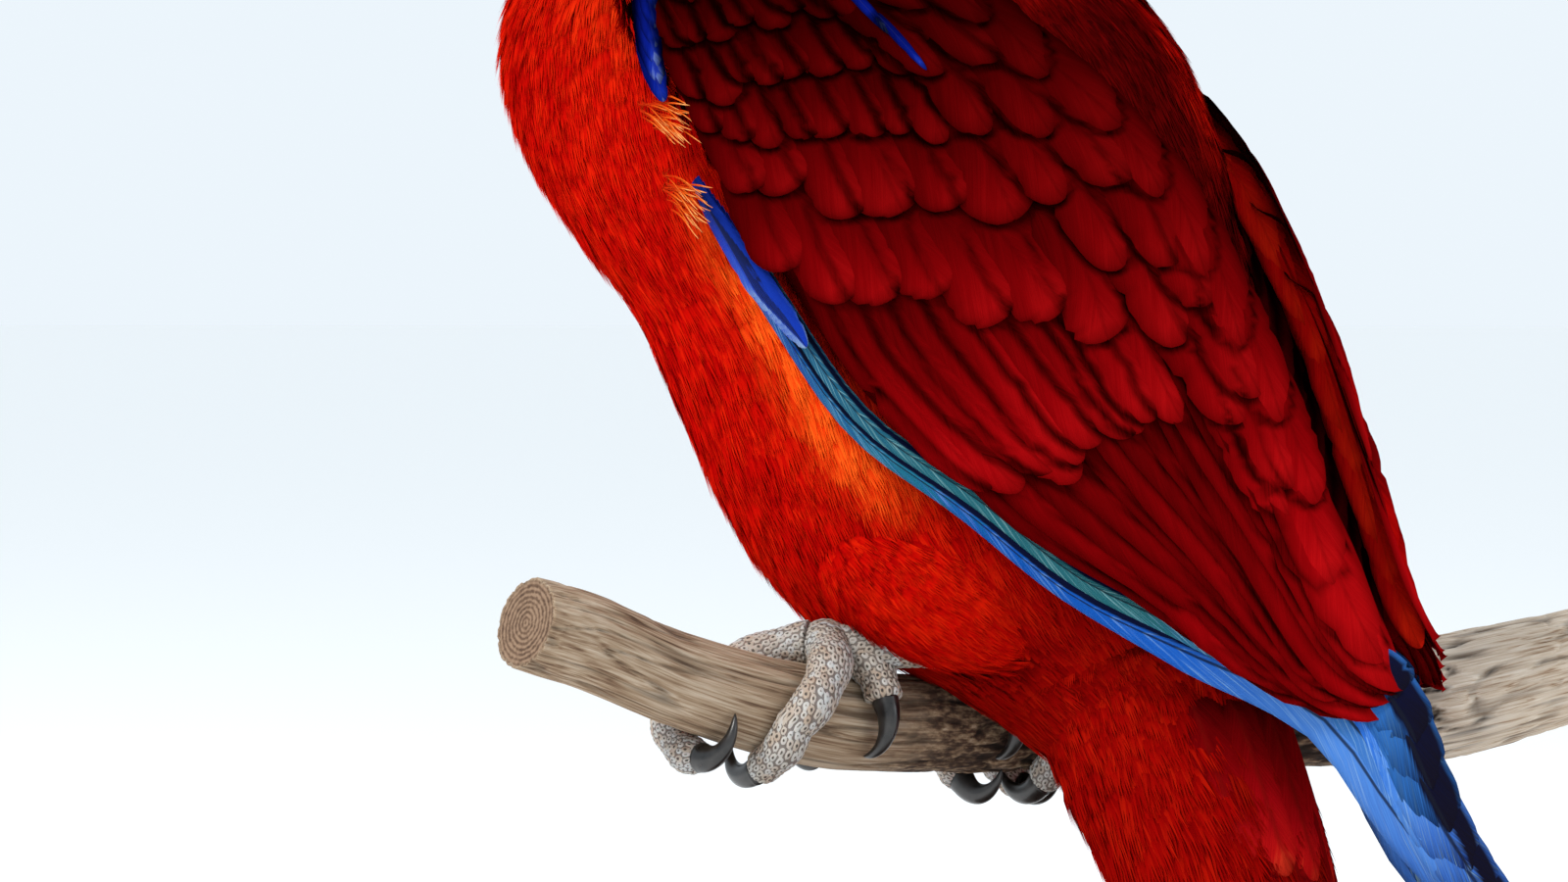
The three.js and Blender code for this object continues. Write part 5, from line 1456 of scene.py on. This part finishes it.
BLUE_BLACK = [(0.1, (0.001, 0.002, 0.010)), (0.6, (0.002, 0.004, 0.026)), (1.0, (0.004, 0.003, 0.008))]
blue_web = web_finish("blue_flight_feather", [
    (0.05, (0.002, 0.015, 0.18)), (0.12, (0.006, 0.06, 0.22)), (0.27, (0.012, 0.13, 0.20)),
    (0.36, (0.004, 0.07, 0.34)), (0.6, (0.012, 0.10, 0.46)), (0.80, (0.06, 0.18, 0.50)),
    (0.90, (0.03, 0.10, 0.36)), (0.98, (0.004, 0.010, 0.06))], BLUE_BLACK, 0.28)
teal_web = web_finish("teal_flight_feather", [
    (0.05, (0.01, 0.07, 0.16)), (0.3, (0.015, 0.10, 0.13)), (0.55, (0.02, 0.12, 0.14)), (0.68, (0.03, 0.14, 0.34)),
    (0.90, (0.04, 0.12, 0.40)), (0.98, (0.004, 0.010, 0.06))], BLUE_BLACK, 0.42, (0.34, 0.58, 0.60, 1))
navy_web = web_finish("navy_flight_feather", [
    (0.1, (0.003, 0.02, 0.16)), (0.5, (0.008, 0.05, 0.26)), (0.8, (0.02, 0.10, 0.32)), (0.98, (0.002, 0.005, 0.03))],
    BLUE_BLACK, -0.15, (0.06, 0.17, 0.36, 1))
pale_web = web_finish("pale_blue_covert", [
    (0.1, (0.003, 0.010, 0.15)), (0.5, (0.006, 0.025, 0.28)), (0.8, (0.02, 0.06, 0.34)), (1.0, (0.20, 0.30, 0.44))],
    [(0.1, (0.002, 0.010, 0.11)), (1.0, (0.006, 0.03, 0.30))], -0.2, (0.03, 0.08, 0.40, 1))

PRIMARIES, COVERTS = 9, 9
LONGEST_TIP, SHORTEST_TIP = 243, 186  # places along the wing
OUTER_BANDS = (0.20, 0.62, 0.98)  # where the first, the second and the others lie on the blade
for name, side in (("left", -1), ("right", 1)):
    on = on_blade(side)
    webs = {"blue": [], "teal": [], "navy": []}
    for i, f in shares_of(PRIMARIES):
        outermost = i < 2
        tip = between(LONGEST_TIP, SHORTEST_TIP, f ** 1.15)
        band, end = OUTER_BANDS[min(i, 2)], 0.20 + 0.62 * f
        path = [(43 + 7 * i, band), (95, band), (140, band), (172, band + (end - band) * 0.6), (tip, end)]
        if not outermost:
            path = [(141, band)] + path[3:]
        width, root, swell = (9.0, 0.42, (0.45, 0.72)) if outermost else (10.5, 0.3, (0.15, 0.5))
        lifts = (0.2 + 0.24 * i, 0.3 + 0.26 * i)
        made = vane(on, blade_reach, path, width, lifts, 0.0, 1200 + i, rows=40, blunt=0.10, root=root, fray=0.01,
                    swell=swell)
        webs["teal" if i == 1 else "navy" if i > 4 else "blue"].append(made)
    blade = plumage("primary_feathers_" + name, webs["blue"], blue_web)
    plumage("primary_second_" + name, webs["teal"], teal_web)
    plumage("primary_inner_" + name, webs["navy"], navy_web)
    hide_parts("primaries_" + name)
    coverts = []
    for i, f in shares_of(COVERTS):
        root = 44 + 11 * f
        path = [(root - 8, 0.35 + 0.25 * f), (root + 5, 0.30 + 0.25 * f), (root + 17, 0.22 + 0.4 * f)]
        coverts.append(vane(on, blade_reach, path, 4.6, (1.5, 2.1), 0.1, 1300 + i, rows=18, blunt=0.3))
    plumage("primary_coverts_" + name, coverts, pale_web)

# ---- Tail ----
# Twelve broad red feathers hang from the rump in a shallow arch, the middle pair on top. Softer red coverts overlap
# their roots above, at the sides and far down below.
TAIL_ROOT = np.array([33.6, 0, 30])
TAIL_ALONG, TAIL_UP = np.array([0.375, 0, -0.927]), np.array([0.927, 0, 0.375])
# From its root down: height of its arch and half width, and how deep the down under it hangs.
TAIL = smooth([(20, 20, 17), (42, 19, 18.5), (62, 17, 20), (90, 13, 21.5), (128, 9, 22.5)])
TAIL_UNDER = smooth([(20, 19), (42, 17), (60, 14), (80, 8), (98, 2), (108, -4)])


def on_tail(s, turn, lift):
    """Points on the tail: distance from its root, degrees from its upper side, and height over it."""
    height, width = np.moveaxis(TAIL(s), -1, 0)
    way = np.cos(np.radians(turn))
    up = (np.where(way > 0, height, TAIL_UNDER(s)[..., 0]) + lift) * way
    y = (width + lift) * np.sin(np.radians(turn))
    return from_axes(TAIL_ROOT, TAIL_ALONG, TAIL_UP, s, up, y)


def tail_reach(s, turn):
    """Millimetres for each degree round the tail."""
    height, width = np.moveaxis(TAIL(s), -1, 0)
    return (height + width) / 2 * math.pi / 180


red_vane = feather_finish("red_tail_feather", [
    (0.05, (0.05, 0.0004, 0.0008)), (0.40, (0.13, 0.0008, 0.0015)), (0.66, (0.22, 0.0015, 0.003)),
    (0.90, (0.32, 0.004, 0.004)), (1.0, (0.42, 0.02, 0.008))], (0.12, 0.0008, 0.0012), 0.6)
TAIL_PAIRS, TAIL_WIDTH = 6, 16.5
vanes, seed = [], 1500
for i in range(TAIL_PAIRS):
    for side in (-1, 1):
        seed += 1
        turn, tip = side * (6.5 + 15 * i), 127.5 - 1.5 * i
        path = [(40, turn * 0.9), (84, turn), (tip, turn * 1.04)]
        lifts = (2.1 - 0.34 * i, 2.4 - 0.34 * i)
        vanes.append(vane(on_tail, tail_reach, path, TAIL_WIDTH, lifts, side * -0.2, seed, blunt=0.11))
tail = plumage("tail_feathers", vanes, red_vane)
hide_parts("tail")

# Coverts above and below: middle and half width of their fan in degrees, rise, and tip and count of each row.
TAIL_COVERTS, COVERT_WIDTH = [(0, 70, 1.8, [(84, 7), (70, 8)]), (180, 80, 0.9, [(97, 6), (84, 8)])], 13
vanes = []
for centre, half_fan, lowest_rise, covert_rows in TAIL_COVERTS:
    for level, (longest, count) in enumerate(covert_rows):
        for _, f in shares_of(count):
            f = f - 0.5 + (0.05 if level % 2 else -0.05)
            seed += 1
            tip = longest - 26 * abs(f) ** 1.5
            turn = centre + 2 * half_fan * f
            path = [(tip - 38, turn), (tip - 17, turn), (tip, turn)]
            rise = lowest_rise + 0.5 * level - 0.6 * abs(f)
            lifts = (rise, rise + 0.4)
            vanes.append(vane(on_tail, tail_reach, path, COVERT_WIDTH, lifts, 0.25, seed, blunt=0.34, fray=0.06))
plumage("tail_coverts", vanes, red_vane)

# ---- Down at the root of the tail ----
# A downy core fills the tail between its feathers. Long, soft, hair-like feathers grow from its underside and sides
# and run down over the roots of the tail feathers.
s, turn = ring_grid(16, 108, 70, 96, 360)
below = eased(42, 72, np.minimum(turn, 360 - turn))
core = ringed_piece("tail_root", on_tail(s, turn, -0.4 + (0.7 + 0.8 * below) * (1 - eased(70, 96, s))))
s, turn, below = (np.append(values.ravel(), values[[0, -1], 0]) for values in (s, turn, below))
store(core, "scarlet", 0.26 + 0.22 * below)
store(core, "orange", np.zeros(len(s)))
store(core, "long", 1.0 + 0.75 * eased(16, 50, s))
store(core, "lie", np.tile(TAIL_ALONG, (len(s), 1)), "FLOAT_VECTOR")
store(core, "unwrap", np.stack([turn / 370, s / 120, 0 * s], -1), "FLOAT_VECTOR")
store(core, "downy", (0.8 + 0.2 * below) * (1 - eased(56, 92, s + 12 * (1 - below))))
coat("tail_down", core, body_tufts, "downy", 1.15, 8, 9, 31, scarlet_feather)
core.data.materials.append(scarlet_down)
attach(core, "root")
